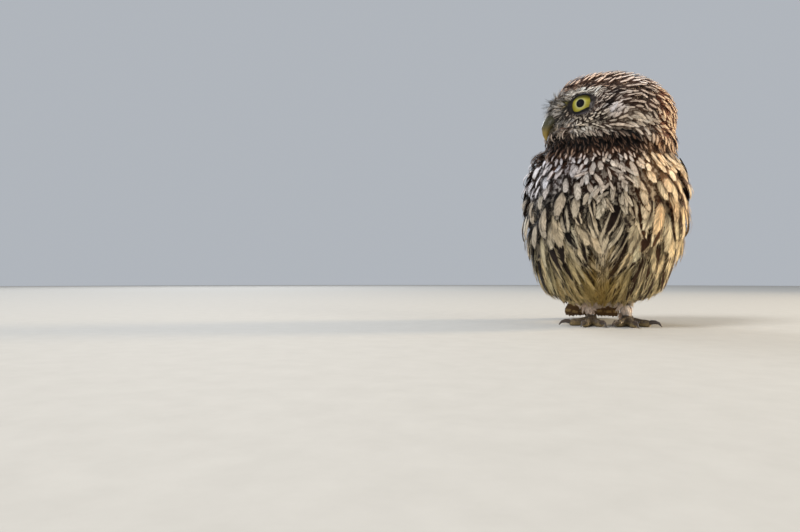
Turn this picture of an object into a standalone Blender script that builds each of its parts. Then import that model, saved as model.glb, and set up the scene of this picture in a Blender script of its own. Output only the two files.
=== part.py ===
"""A little owl standing upright, life size, with its head turned to its right and a little up.

Metres, +Z up. The owl faces -Y and its left side is at +X. The origin is on the floor under the owl.
Each named part of the body is one closed solid, and neighbours keep a gap of GAP.
"""

import collections
import math
import random

import bmesh
import bpy
import numpy as np
from mathutils import Matrix, Vector

MM = 0.001
GAP = 0.3 * MM
FLOOR_CUT = 60 * MM
CUT_REACH = 300 * MM
FLAT = math.radians(1)
# All is modelled with Z through the middle of the torso. This last move centres the owl over the origin.
CENTRING = Vector((0.6 * MM, -16.2 * MM, 0))

# Torso, as an ellipsoid whose half axes change with the height.
# The body leans, and its tail end swings to its right.
TORSO_BOTTOM = 13 * MM
TORSO_TOP = 141 * MM
LEAN = 0.04
LEAN_HEIGHT = 92 * MM
SWING = 0.15
SWING_START = 25 * MM
LOWER_ROUNDNESS = 2.4
UPPER_ROUNDNESS = 2.0
TORSO_SEGMENTS = 40
TORSO_RINGS = 24
# Each row is a height, then the half width, the depth in front and the depth behind of the ellipsoid there.
TORSO_STATIONS = (
    (13 * MM, 58 * MM, 47 * MM, 60 * MM),
    (24 * MM, 55.5 * MM, 47 * MM, 61 * MM),
    (36 * MM, 52 * MM, 47 * MM, 59 * MM),
    (51 * MM, 50.3 * MM, 46 * MM, 54 * MM),
    (70 * MM, 48.3 * MM, 45.5 * MM, 50 * MM),
    (89 * MM, 46.6 * MM, 44 * MM, 47 * MM),
    (105 * MM, 45.5 * MM, 41.5 * MM, 45 * MM),
    (118 * MM, 46 * MM, 39 * MM, 43 * MM),
    (141 * MM, 46 * MM, 37 * MM, 42 * MM),
)

# Neck, a short thick ellipsoid between the torso and the head.
NECK_CENTRE = Vector((3.4 * MM, 2 * MM, 112 * MM))
NECK_HALF = Vector((40.5 * MM, 37.5 * MM, 26 * MM))
NECK_LOWER_CUT = Vector((5 * MM, 0, 103 * MM))
NECK_UPPER_CUT = Vector((6 * MM, 0, 117 * MM))
NECK_LOWER_TILT = math.radians(-4)
NECK_UPPER_TILT = math.radians(-9)

# Head, in a frame of its own that faces -Y: half width, depth and height out to the feather tips.
HEAD_CENTRE = Vector((5.0 * MM, -1 * MM, 131.3 * MM))
HEAD_HALF = Vector((35.7 * MM, 39 * MM, 28.2 * MM))
HEAD_YAW = math.radians(-62)
HEAD_PITCH = math.radians(5)
HEAD_SEGMENTS = 44
HEAD_RINGS = 28
# Each swelling or hollow of the head is a direction, its height and its angular width.
# It is mirrored where its X isn't 0.
HEAD_FORMS = (
    ((0.46, -0.88, 0.04), -7.6 * MM, 0.34),
    ((0.36, -0.72, 0.56), 2.0 * MM, 0.20),
    ((0.80, -0.55, -0.10), 1.4 * MM, 0.24),
    ((0, -0.92, 0.40), 4.2 * MM, 0.28),
    ((0, -0.99, -0.05), 5.6 * MM, 0.24),
    ((0, -0.80, -0.60), 2.2 * MM, 0.30),
    ((0, 0.85, -0.45), 1.8 * MM, 0.50),
)

# Eyes, in the head's frame.
EYE_RADIUS = 8.0 * MM
EYE_CENTRE = Vector((12.2 * MM, -23.5 * MM, 1.5 * MM))
EYE_OUTWARD = math.radians(26)
EYE_UPWARD = math.radians(2)
LID_RADIUS = 7.3 * MM
LID_THICKNESS = 1.0 * MM

# Bill, in the head's frame. Each row is a point of the middle line, then the half width and the half height.
UPPER_BILL = (
    ((0, -30.0 * MM, -2.5 * MM), 4.4 * MM, 4.4 * MM),
    ((0, -37.5 * MM, -4.0 * MM), 4.2 * MM, 4.4 * MM),
    ((0, -42.0 * MM, -7.6 * MM), 3.5 * MM, 3.7 * MM),
    ((0, -43.8 * MM, -12.0 * MM), 2.6 * MM, 2.9 * MM),
    ((0, -43.8 * MM, -16.0 * MM), 1.5 * MM, 1.8 * MM),
    ((0, -42.8 * MM, -19.4 * MM), 0.5 * MM, 0.6 * MM),
)
LOWER_BILL = (
    ((0, -29.0 * MM, -9.6 * MM), 3.4 * MM, 2.8 * MM),
    ((0, -35.2 * MM, -11.8 * MM), 3.1 * MM, 2.8 * MM),
    ((0, -39.2 * MM, -14.4 * MM), 2.3 * MM, 2.2 * MM),
    ((0, -41.2 * MM, -16.6 * MM), 1.1 * MM, 1.0 * MM),
)
NOSTRIL_CENTRE = Vector((3.4 * MM, -41.2 * MM, -5.4 * MM))
NOSTRIL_RADIUS = 0.8 * MM

# Legs and feet. Each row of FEET is a side name, the leg's top and its ankle.
LEG_TOP_RADIUS = 4.6 * MM
LEG_MIDDLE_RADIUS = 3.3 * MM
ANKLE_RADIUS = 3.5 * MM
ANKLE_CUT = 6.6 * MM
LEG_TOP_HEIGHT = 30 * MM
FEET = (
    ("right", Vector((-12.5 * MM, -3 * MM, LEG_TOP_HEIGHT)), Vector((-8.5 * MM, -6 * MM, 0))),
    ("left", Vector((8.5 * MM, -1 * MM, LEG_TOP_HEIGHT)), Vector((13 * MM, -4 * MM, 0))),
)
# Each toe is a name, its heading from straight ahead, positive to the outer side, its length and its
# claw's length.
TOES = (
    ("inner", math.radians(-24), 15.0 * MM, 8.5 * MM),
    ("middle", math.radians(12), 17.5 * MM, 9.0 * MM),
    ("outer", math.radians(62), 14.5 * MM, 8.0 * MM),
    ("hind", math.radians(188), 8.5 * MM, 7.5 * MM),
)
TOE_RADIUS = 2.5 * MM
TOE_HEIGHT = 2.0 * MM
CLAW_RADIUS = 1.5 * MM

# Tail: a short wedge under the rump, and pairs of feathers that fan out of it down to the floor.
TAIL_ROOT = Vector((0, 30 * MM, 46 * MM))
TAIL_TIP = Vector((0, 75.5 * MM, 0.6 * MM))
TAIL_ROOT_WIDTH = 22 * MM
TAIL_CORE_THICKNESS = 7.4 * MM
# Each row is a place along the tail, then the shares of the wedge's full width and thickness there.
TAIL_CORE_ROWS = ((0.0, 1.0, 1.0), (0.46, 1.0, 1.0), (0.66, 0.7, 0.35))
TAIL_PAIRS = 6
TAIL_FEATHER_START = 0.42
TAIL_FEATHER_WIDTH = 11.5 * MM
TAIL_TIP_SPREAD = 26 * MM
TAIL_ROOT_SPREAD = 12 * MM
TAIL_STEP = 0.95 * MM

# Folded wings. The lower and the upper edge run from the wrist to the tip, as the left wing has them.
WING_LOWER_EDGE = (
    Vector((40 * MM, -22 * MM, 107 * MM)),
    Vector((56.5 * MM, -22 * MM, 70 * MM)),
    Vector((46 * MM, 30 * MM, 34 * MM)),
    Vector((13 * MM, 72 * MM, 9 * MM)),
)
WING_UPPER_EDGE = (
    Vector((19 * MM, 29 * MM, 111 * MM)),
    Vector((2.5 * MM, 52 * MM, 90 * MM)),
    Vector((0.5 * MM, 60 * MM, 55 * MM)),
    Vector((2.2 * MM, 70 * MM, 19 * MM)),
)
LEFT_WING_TUCK = Vector((-5.5 * MM, 4 * MM, 0))
WING_SWELL = 0.12
WING_CLEARANCE = 0.6 * MM
WING_STEPS = 12
WING_RIBS = 6
# The body of the wing is a wedge that all the feathers root in. Each row is a place along it and its
# thickness there.
WING_CORE_ROWS = (
    (0.0, 2.6 * MM),
    (0.06, 4.6 * MM),
    (0.14, 4.8 * MM),
    (0.24, 4.0 * MM),
    (0.38, 2.9 * MM),
    (0.50, 1.9 * MM),
    (0.62, 0.8 * MM),
)
WING_CORE_END = 0.62
# Each tier of feathers on a wing: how many, then the root, the tip and the width of the feather at the lower
# edge and of the one at the upper edge, how high the tier lies, and how far a feather's lower edge stands over
# its upper edge. Roots and tips are places along the wing and across it.
Tier = collections.namedtuple("Tier", "name count roots tips widths level roll")
WING_TIERS = (
    Tier(
        name="primary",
        count=6,
        roots=((0.40, 0.12), (0.46, 0.44)),
        tips=((0.98, 0.20), (0.80, 0.62)),
        widths=(8.5 * MM, 10 * MM),
        level=1.0 * MM,
        roll=0.75 * MM,
    ),
    Tier(
        name="secondary",
        count=7,
        roots=((0.30, 0.30), (0.34, 0.90)),
        tips=((0.70, 0.32), (0.82, 0.88)),
        widths=(11 * MM, 11 * MM),
        level=2.2 * MM,
        roll=0.8 * MM,
    ),
    Tier(
        name="greater_covert",
        count=7,
        roots=((0.20, 0.08), (0.20, 0.92)),
        tips=((0.50, 0.08), (0.47, 0.92)),
        widths=(11 * MM, 11 * MM),
        level=3.3 * MM,
        roll=0.7 * MM,
    ),
    Tier(
        name="median_covert",
        count=6,
        roots=((0.11, 0.10), (0.10, 0.90)),
        tips=((0.34, 0.10), (0.31, 0.90)),
        widths=(11.5 * MM, 11.5 * MM),
        level=4.2 * MM,
        roll=0.7 * MM,
    ),
    Tier(
        name="lesser_covert",
        count=4,
        roots=((0.03, 0.14), (0.03, 0.86)),
        tips=((0.20, 0.14), (0.18, 0.86)),
        widths=(14 * MM, 14 * MM),
        level=4.9 * MM,
        roll=0.6 * MM,
    ),
)
TIP_VARIATION = 0.012
WIDTH_VARIATION = 0.05
# Each place along a vane is a share of its length, then the share of its full width there.
VANE_SHAPE = ((0.0, 0.4), (0.35, 0.85), (0.66, 1.0), (0.88, 0.82), (1.0, 0.36))
VANE_THICKNESS = 0.6 * MM
VANE_SINK = 1.3 * MM
VANE_POINT = 0.03
SEED = 7


def clear_scene():
    for obj in list(bpy.data.objects):
        bpy.data.objects.remove(obj)
    for mesh in list(bpy.data.meshes):
        bpy.data.meshes.remove(mesh)


def new_collection(name):
    collection = bpy.data.collections.new(name)
    bpy.context.scene.collection.children.link(collection)
    return collection


def material(name, colour, roughness, metallic=0.0):
    made = bpy.data.materials.new(name)
    made.use_nodes = True
    shader = made.node_tree.nodes["Principled BSDF"]
    shader.inputs["Base Color"].default_value = (*colour, 1.0)
    shader.inputs["Roughness"].default_value = roughness
    shader.inputs["Metallic"].default_value = metallic
    return made


def object_from(bm, name, collection):
    """The bmesh as a new object, with its faces pointing out."""
    bmesh.ops.recalc_face_normals(bm, faces=bm.faces)
    mesh = bpy.data.meshes.new(name)
    bm.to_mesh(mesh)
    bm.free()
    obj = bpy.data.objects.new(name, mesh)
    collection.objects.link(obj)
    return obj


def remove(obj):
    bpy.data.objects.remove(obj)


def bake(obj):
    """Replaces the object's mesh by what its modifiers make of it."""
    bpy.context.view_layer.update()
    graph = bpy.context.evaluated_depsgraph_get()
    mesh = bpy.data.meshes.new_from_object(obj.evaluated_get(graph))
    obj.modifiers.clear()
    obj.data = mesh


def combine(obj, other, operation, solver="EXACT"):
    """Joins, cuts or crosses the object with another, which stays as it is."""
    modifier = obj.modifiers.new(operation.lower(), "BOOLEAN")
    modifier.operation = operation
    modifier.solver = solver
    modifier.object = other
    bake(obj)


def cut_away(obj, cutter, solver="EXACT"):
    combine(obj, cutter, "DIFFERENCE", solver)
    remove(cutter)


def keep_largest(obj):
    """Keeps only the closed surface that holds the most."""
    bm = bmesh.new()
    bm.from_mesh(obj.data)
    bmesh.ops.remove_doubles(bm, verts=bm.verts, dist=0.002 * MM)
    bmesh.ops.dissolve_limit(bm, angle_limit=FLAT, verts=bm.verts, edges=bm.edges)
    bmesh.ops.triangulate(bm, faces=bm.faces)
    unseen = set(bm.verts)
    shells = []
    while unseen:
        front = [unseen.pop()]
        shell = set(front)
        while front:
            for edge in front.pop().link_edges:
                for vert in edge.verts:
                    if vert in unseen:
                        unseen.discard(vert)
                        shell.add(vert)
                        front.append(vert)
        shells.append(shell)

    def volume(shell):
        faces = {face for vert in shell for face in vert.link_faces}
        return sum(
            face.verts[0].co.dot(face.verts[1].co.cross(face.verts[2].co)) for face in faces
        )

    largest = max(shells, key=volume)
    scraps = [vert for shell in shells if shell is not largest for vert in shell]
    bmesh.ops.delete(bm, geom=scraps, context="VERTS")
    bm.to_mesh(obj.data)
    bm.free()


def finish(obj, finish_material):
    keep_largest(obj)
    obj.data.shade_smooth()
    obj.data.set_sharp_from_angle(angle=math.radians(40))
    obj.data.materials.clear()
    obj.data.materials.append(finish_material)
    return obj


def grown(obj, name, by, collection):
    """A copy of the object that is larger by a wall all round."""
    bm = bmesh.new()
    bm.from_mesh(obj.data)
    bm.normal_update()
    moves = [vert.normal * by for vert in bm.verts]
    for vert, move in zip(bm.verts, moves):
        vert.co += move
    return object_from(bm, name, collection)


def slab(name, bottom, top, collection):
    """A level block wider than the owl, between two heights."""
    bm = bmesh.new()
    bmesh.ops.create_cube(bm, size=1)
    bmesh.ops.scale(bm, vec=(2 * CUT_REACH, 2 * CUT_REACH, top - bottom), verts=bm.verts)
    bmesh.ops.translate(bm, vec=(0, 0, (top + bottom) / 2), verts=bm.verts)
    return object_from(bm, name, collection)


def half_space(name, point, tilt, above, collection):
    """A big block that ends at a plane through the point, tilted about Y, and fills one side of it."""
    bm = bmesh.new()
    bmesh.ops.create_cube(bm, size=2 * CUT_REACH)
    bmesh.ops.translate(bm, vec=(0, 0, CUT_REACH if above else -CUT_REACH), verts=bm.verts)
    bmesh.ops.rotate(bm, cent=(0, 0, 0), matrix=Matrix.Rotation(tilt, 3, "Y"), verts=bm.verts)
    bmesh.ops.translate(bm, vec=point, verts=bm.verts)
    return object_from(bm, name, collection)


def between(stations, place):
    """Smooth values at a place, from rows of a place and its values in rising order."""
    rows = np.array(stations, float)
    places, values = rows[:, 0], rows[:, 1:]
    slopes = np.gradient(values, places, axis=0)
    place = min(max(place, places[0]), places[-1])
    i = min(int(np.searchsorted(places, place, side="right")) - 1, len(places) - 2)
    span = places[i + 1] - places[i]
    t = (place - places[i]) / span
    start = (2 * t**3 - 3 * t**2 + 1) * values[i] + (t**3 - 2 * t**2 + t) * span * slopes[i]
    end = (3 * t**2 - 2 * t**3) * values[i + 1] + (t**3 - t**2) * span * slopes[i + 1]
    return start + end


def bezier(points, t):
    """A point of the cubic curve with these four control points."""
    a, b, c, d = points
    return a * (1 - t) ** 3 + b * 3 * t * (1 - t) ** 2 + c * 3 * t * t * (1 - t) + d * t**3


def leaned(point):
    """The point moved sideways as the whole body leans and its tail end swings."""
    shift = LEAN * (point.z - LEAN_HEIGHT) - SWING * max(0.0, point.y - SWING_START)
    return Vector((point.x + shift, point.y, point.z))


def torso_radius(height, angle):
    """How far the torso reaches from its upright axis, at an angle from straight back towards the left."""
    middle = (TORSO_BOTTOM + TORSO_TOP) / 2
    half = (TORSO_TOP - TORSO_BOTTOM) / 2
    level = (height - middle) / half
    if abs(level) >= 1:
        return 0.0
    roundness = UPPER_ROUNDNESS if level > 0 else LOWER_ROUNDNESS
    narrowing = (1 - abs(level) ** roundness) ** (1 / roundness)
    width, front, back = between(TORSO_STATIONS, height) * narrowing
    depth = back if math.cos(angle) > 0 else front
    return 1 / math.hypot(math.sin(angle) / width, math.cos(angle) / depth)


def torso_form(name, collection):
    bm = bmesh.new()
    bmesh.ops.create_uvsphere(bm, u_segments=TORSO_SEGMENTS, v_segments=TORSO_RINGS, radius=1)
    middle = (TORSO_BOTTOM + TORSO_TOP) / 2
    half = (TORSO_TOP - TORSO_BOTTOM) / 2
    for vert in bm.verts:
        height = middle + half * vert.co.z
        angle = math.atan2(vert.co.x, vert.co.y)
        radius = torso_radius(height, angle) if abs(vert.co.z) < 0.9999 else 0.0
        place = Vector((radius * math.sin(angle), radius * math.cos(angle), height))
        vert.co = leaned(place)
    return object_from(bm, name, collection)


def neck_form(name, collection):
    bm = bmesh.new()
    bmesh.ops.create_uvsphere(bm, u_segments=TORSO_SEGMENTS, v_segments=TORSO_RINGS // 2, radius=1)
    bmesh.ops.scale(bm, vec=NECK_HALF, verts=bm.verts)
    bmesh.ops.translate(bm, vec=NECK_CENTRE, verts=bm.verts)
    return object_from(bm, name, collection)


def head_frame():
    """Takes the head's own frame to the owl's."""
    turn = Matrix.Rotation(HEAD_YAW, 4, "Z") @ Matrix.Rotation(-HEAD_PITCH, 4, "X")
    return Matrix.Translation(HEAD_CENTRE) @ turn


def head_reach(direction):
    """How far the head reaches from its centre in a unit direction of its own frame."""
    reach = 1 / Vector([d / h for d, h in zip(direction, HEAD_HALF)]).length
    for towards, height, width in HEAD_FORMS:
        for side in (1, -1) if towards[0] else (1,):
            axis = Vector((side * towards[0], towards[1], towards[2])).normalized()
            reach += height * math.exp(-((direction.angle(axis) / width) ** 2))
    return reach


def head_form(name, collection):
    bm = bmesh.new()
    bmesh.ops.create_uvsphere(bm, u_segments=HEAD_SEGMENTS, v_segments=HEAD_RINGS, radius=1)
    for vert in bm.verts:
        direction = vert.co.normalized()
        vert.co = direction * head_reach(direction)
    bm.transform(head_frame())
    return object_from(bm, name, collection)


def eye_frame(side):
    """Takes a frame with +Z along the gaze and its origin at the eyeball's centre to the owl's frame."""
    gaze = Vector((side * math.sin(EYE_OUTWARD), -math.cos(EYE_OUTWARD), math.tan(EYE_UPWARD)))
    centre = Vector((side * EYE_CENTRE.x, EYE_CENTRE.y, EYE_CENTRE.z))
    turn = gaze.to_track_quat("Z", "Y").to_matrix().to_4x4()
    return head_frame() @ Matrix.Translation(centre) @ turn


def eyeball(name, side, radius, collection):
    bm = bmesh.new()
    bmesh.ops.create_uvsphere(bm, u_segments=20, v_segments=12, radius=radius)
    bm.transform(eye_frame(side))
    return object_from(bm, name, collection)


def lid_ring(name, side, collection):
    """The rim of the lids round the open eye, fused with the head."""
    bm = bmesh.new()
    height = math.sqrt(EYE_RADIUS**2 - LID_RADIUS**2)
    bmesh.ops.create_circle(
        bm,
        segments=10,
        radius=LID_THICKNESS,
        matrix=Matrix.Translation((LID_RADIUS, 0, height)) @ Matrix.Rotation(math.pi / 2, 4, "X"),
    )
    bmesh.ops.spin(
        bm,
        geom=bm.verts[:] + bm.edges[:],
        cent=(0, 0, 0),
        axis=(0, 0, 1),
        angle=2 * math.pi,
        steps=24,
        use_merge=True,
    )
    bm.transform(eye_frame(side))
    return object_from(bm, name, collection)


def loft(name, rows, sides, frame, collection):
    """A closed body through rows of a point, a half width along X and a half height.

    Each ring stands across the line, which has one X all along, and the body is flat at both ends.
    """
    points = [Vector(row[0]) for row in rows]
    bm = bmesh.new()
    rings = []
    for i, (_, half_width, half_height) in enumerate(rows):
        ahead = points[min(i + 1, len(points) - 1)] - points[max(i - 1, 0)]
        across = Vector((1, 0, 0))
        up = across.cross(ahead).normalized()
        ring = []
        for k in range(sides):
            angle = 2 * math.pi * (k + 0.5) / sides
            place = points[i] + across * half_width * math.cos(angle) + up * half_height * math.sin(angle)
            ring.append(bm.verts.new(place))
        rings.append(ring)
    for first, second in zip(rings, rings[1:]):
        for k in range(sides):
            bm.faces.new((first[k], first[(k + 1) % sides], second[(k + 1) % sides], second[k]))
    bm.faces.new(rings[0])
    bm.faces.new(list(reversed(rings[-1])))
    bm.transform(frame)
    return object_from(bm, name, collection)


def make_head_and_trunk(parts, tools, finishes):
    """The head, neck and torso, modelled whole and parted with thin cuts.

    Returns the three forms, grown by the gap.
    """
    torso = torso_form("torso", parts)
    torso_wall = grown(torso, "torso_wall", GAP, tools)
    neck = neck_form("neck", parts)
    neck_wall = grown(neck, "neck_wall", GAP, tools)
    head = head_form("head", parts)
    head_wall = grown(head, "head_wall", GAP, tools)
    whole = torso.copy()
    whole.data = torso.data.copy()
    tools.objects.link(whole)
    combine(whole, neck, "UNION")
    combine(whole, head, "UNION")

    gap_up = Vector((0, 0, GAP / 2))
    for node, cuts in (
        (head, ((NECK_UPPER_CUT + gap_up, NECK_UPPER_TILT, True),)),
        (
            neck,
            (
                (NECK_UPPER_CUT - gap_up, NECK_UPPER_TILT, False),
                (NECK_LOWER_CUT + gap_up, NECK_LOWER_TILT, True),
            ),
        ),
        (torso, ((NECK_LOWER_CUT - gap_up, NECK_LOWER_TILT, False),)),
    ):
        node.data = whole.data.copy()
        for point, tilt, above in cuts:
            block = half_space("block", point, tilt, above, tools)
            combine(node, block, "INTERSECT")
            remove(block)
    remove(whole)

    for side in (1, -1):
        ring = lid_ring("ring", side, tools)
        combine(head, ring, "UNION")
        remove(ring)
        cut_away(head, eyeball("socket", side, EYE_RADIUS + GAP, tools))
    finish(head, finishes["crown"])
    finish(neck, finishes["throat"])
    finish(torso, finishes["breast"])
    return head_wall, neck_wall, torso_wall


def make_eyes(parts, finishes):
    for name, side in (("eye_left", 1), ("eye_right", -1)):
        finish(eyeball(name, side, EYE_RADIUS, parts), finishes["eye"])


def make_bill(parts, tools, finishes, walls):
    upper = loft("bill_upper", UPPER_BILL, 14, head_frame(), parts)
    upper_wall = grown(upper, "upper_wall", GAP, tools)
    lower = loft("bill_lower", LOWER_BILL, 12, head_frame(), parts)
    cut_away(lower, upper_wall)
    for bill in (upper, lower):
        for wall in walls:
            combine(bill, wall, "DIFFERENCE", "MANIFOLD")
    for side in (1, -1):
        bm = bmesh.new()
        bmesh.ops.create_icosphere(bm, subdivisions=1, radius=NOSTRIL_RADIUS)
        place = Vector((side * NOSTRIL_CENTRE.x, NOSTRIL_CENTRE.y, NOSTRIL_CENTRE.z))
        bm.transform(head_frame() @ Matrix.Translation(place))
        cut_away(upper, object_from(bm, "nostril", tools))
    finish(upper, finishes["bill"])
    finish(lower, finishes["bill"])


def toe_frame(ankle, side, heading):
    """A frame on the floor under the ankle with -Y along the toe."""
    return Matrix.Translation(Vector((ankle.x, ankle.y, 0))) @ Matrix.Rotation(side * heading, 4, "Z")


def make_leg(parts, tools, finishes, torso_wall, name, top, ankle):
    side = 1 if name == "left" else -1
    knee = top.lerp(ankle, 0.62)
    rows = (
        (top, LEG_TOP_RADIUS, LEG_TOP_RADIUS),
        (top.lerp(ankle, 0.35), LEG_TOP_RADIUS, LEG_TOP_RADIUS),
        (knee, LEG_MIDDLE_RADIUS, LEG_MIDDLE_RADIUS),
        (Vector((ankle.x, ankle.y, TOE_HEIGHT)), ANKLE_RADIUS, ANKLE_RADIUS),
    )
    leg = loft("leg_" + name, rows, 14, Matrix(), parts)
    combine(leg, torso_wall, "DIFFERENCE")
    cut_away(leg, slab("ankle", -FLOOR_CUT, ANKLE_CUT + GAP, tools))
    finish(leg, finishes["leg"])

    foot = loft(
        "foot_" + name,
        (
            ((ankle.x, ankle.y, ANKLE_CUT), ANKLE_RADIUS, ANKLE_RADIUS),
            ((ankle.x, ankle.y, TOE_HEIGHT), ANKLE_RADIUS * 1.05, ANKLE_RADIUS * 1.05),
            ((ankle.x, ankle.y, -TOE_HEIGHT), ANKLE_RADIUS * 0.8, ANKLE_RADIUS * 0.8),
        ),
        14,
        Matrix(),
        parts,
    )
    for toe_name, heading, length, claw in TOES:
        frame = toe_frame(ankle, side, heading)
        toe = loft(
            "toe",
            (
                ((0, 1.5 * MM, TOE_HEIGHT + 1.4 * MM), TOE_RADIUS, TOE_RADIUS),
                ((0, -length * 0.35, TOE_HEIGHT + 1.0 * MM), TOE_RADIUS, TOE_RADIUS),
                ((0, -length * 0.60, TOE_HEIGHT + 0.2 * MM), TOE_RADIUS * 0.9, TOE_RADIUS),
                ((0, -length * 0.85, TOE_HEIGHT), TOE_RADIUS, TOE_RADIUS),
                ((0, -length, TOE_HEIGHT + 0.4 * MM), TOE_RADIUS * 0.75, TOE_RADIUS * 0.75),
            ),
            10,
            frame,
            tools,
        )
        combine(foot, toe, "UNION")
        remove(toe)
        tip = -length - GAP
        rows = (
            ((0, tip, TOE_HEIGHT + 0.9 * MM), CLAW_RADIUS * 0.8, CLAW_RADIUS),
            ((0, tip - claw * 0.35, TOE_HEIGHT + 1.2 * MM), CLAW_RADIUS * 0.65, CLAW_RADIUS * 0.85),
            ((0, tip - claw * 0.66, TOE_HEIGHT + 0.5 * MM), CLAW_RADIUS * 0.42, CLAW_RADIUS * 0.55),
            ((0, tip - claw * 0.86, 0.75 * MM), CLAW_RADIUS * 0.16, CLAW_RADIUS * 0.2),
        )
        nail = loft(f"claw_{name}_{toe_name}", rows, 8, frame, parts)
        finish(nail, finishes["claw"])
    cut_away(foot, slab("floor", -FLOOR_CUT, 0, tools))
    cut_away(foot, slab("ankle", ANKLE_CUT, FLOOR_CUT, tools))
    finish(foot, finishes["foot"])


def vane(name, place, collection):
    """One feather as a thin closed vane.

    place takes a share of its length, and -1 to 1 across it, to a point.
    """
    bm = bmesh.new()
    bmesh.ops.create_grid(bm, x_segments=len(VANE_SHAPE) - 1, y_segments=2, size=1)
    last = len(VANE_SHAPE) - 1
    for vert in bm.verts:
        row = round((vert.co.x + 1) / 2 * last)
        share, breadth = VANE_SHAPE[row]
        across = vert.co.y
        if row == last:
            share += VANE_POINT * (1 - abs(across))
        vert.co = place(share, across * breadth)
    bmesh.ops.triangulate(bm, faces=bm.faces)
    obj = object_from(bm, name, collection)
    solid = obj.modifiers.new("solid", "SOLIDIFY")
    solid.thickness = VANE_THICKNESS
    solid.offset = 0
    bake(obj)
    return obj


def fuse(core, collection):
    """Joins everything in the collection to the core, and removes the collection's objects."""
    modifier = core.modifiers.new("union", "BOOLEAN")
    modifier.operation = "UNION"
    modifier.solver = "MANIFOLD"
    modifier.operand_type = "COLLECTION"
    modifier.collection = collection
    bake(core)
    for obj in list(collection.objects):
        remove(obj)
    bpy.data.collections.remove(collection)


def tail_place(along, sideways, lift):
    """A point of the tail: a share of its length, how far it is to the left, and how far above its plane."""
    ahead = TAIL_TIP - TAIL_ROOT
    up = Vector((1, 0, 0)).cross(ahead).normalized()
    return leaned(TAIL_ROOT + ahead * along + Vector((sideways, 0, 0)) + up * lift)


def tail_feather(number, side, collection):
    """A tail feather. Number 0 is in the middle and on top, and the rest lie lower and further out."""
    out = (number + 0.5) / TAIL_PAIRS
    root = side * out * TAIL_ROOT_SPREAD / 2
    tip = side * out * TAIL_TIP_SPREAD / 2
    length = 1 - 0.05 * out**2
    level = -(number + (0.5 if side > 0 else 0.0) - TAIL_PAIRS / 2) * TAIL_STEP

    def place(share, across):
        along = TAIL_FEATHER_START + (length - TAIL_FEATHER_START) * share
        sideways = root + (tip - root) * share + across * TAIL_FEATHER_WIDTH / 2
        return tail_place(along, sideways, level * (0.35 + 0.65 * share))

    return vane("feather", place, collection)


def make_tail(parts, tools, finishes, torso_wall):
    rows = []
    for along, breadth, thickness in TAIL_CORE_ROWS:
        half_width = TAIL_ROOT_WIDTH * breadth / 2
        half_height = TAIL_CORE_THICKNESS * thickness / 2
        rows.append((tail_place(along, 0, 0), half_width, half_height))
    tail = loft("tail", rows, 16, Matrix(), parts)
    feathers = new_collection("tail_feathers")
    for number in range(TAIL_PAIRS):
        for side in (1, -1):
            tail_feather(number, side, feathers)
    fuse(tail, feathers)
    cut_away(tail, slab("floor", -FLOOR_CUT, 0, tools))
    combine(tail, torso_wall, "DIFFERENCE")
    finish(tail, finishes["tail"])


def tail_slab(name, collection):
    """A plain block round the whole tail, which keeps the wings off its feathers."""
    thick = TAIL_STEP * TAIL_PAIRS / 2 + VANE_THICKNESS + GAP
    half = (TAIL_TIP_SPREAD + TAIL_FEATHER_WIDTH) / 2 + GAP
    bm = bmesh.new()
    bmesh.ops.create_cube(bm, size=2)
    for vert in bm.verts:
        along = 1.1 if vert.co.y > 0 else 0.0
        vert.co = tail_place(along, vert.co.x * half, vert.co.z * thick)
    return object_from(bm, name, collection)


def wing_place(side, along, across, lift):
    """A point of the folded wing: along it from wrist to tip, across it from the lower to the upper edge.

    It lies on the torso where that would stand through it, and lift is how far it stands off.
    """
    low = bezier(WING_LOWER_EDGE, along)
    high = bezier(WING_UPPER_EDGE, along)
    flat = low.lerp(high, across)
    if side > 0:
        flat += LEFT_WING_TUCK * (1 - along) ** 2
    outward = Vector((flat.x, flat.y, 0)).normalized()
    swell = 4 * across * (1 - across) * (high - low).length * WING_SWELL
    flat += outward * max(0.0, swell)
    radius = math.hypot(flat.x, flat.y)
    least = torso_radius(flat.z, math.atan2(flat.x, flat.y)) + WING_CLEARANCE
    blend = 2.5 * MM
    held = (radius + least + math.hypot(radius - least, blend)) / 2
    normal = Vector((outward.x, outward.y, 0.35)).normalized()
    place = outward * held + Vector((0, 0, flat.z)) + normal * lift
    place.x *= side
    return leaned(place)


def wing_breadth(along):
    return (bezier(WING_UPPER_EDGE, along) - bezier(WING_LOWER_EDGE, along)).length


def edge_fall(across):
    """How the wing thins towards its edges: 1 over most of it."""
    return min(1.0, max(0.0, 4.8 * across * (1 - across)) + 0.35)


def wing_core(name, side, collection):
    """The wing's body: a shell that is thickest near the wrist and thin at its edges and its end."""
    bm = bmesh.new()
    bmesh.ops.create_grid(bm, x_segments=WING_STEPS, y_segments=WING_RIBS, size=0.5)
    inner = bm.verts[:]
    top = bmesh.ops.duplicate(bm, geom=bm.verts[:] + bm.edges[:] + bm.faces[:])
    outer = [item for item in top["geom"] if isinstance(item, bmesh.types.BMVert)]
    for verts, level in ((inner, 0.0), (outer, 1.0)):
        for vert in verts:
            along, across = (vert.co.x + 0.5) * WING_CORE_END, vert.co.y + 0.5
            thickness = float(between(WING_CORE_ROWS, along)[0]) * edge_fall(across)
            vert.co = wing_place(side, along, across, thickness * level)
    rims = [edge for edge in bm.edges if edge.is_boundary]
    bmesh.ops.bridge_loops(bm, edges=rims)
    bmesh.ops.triangulate(bm, faces=bm.faces)
    return object_from(bm, name, collection)


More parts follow.
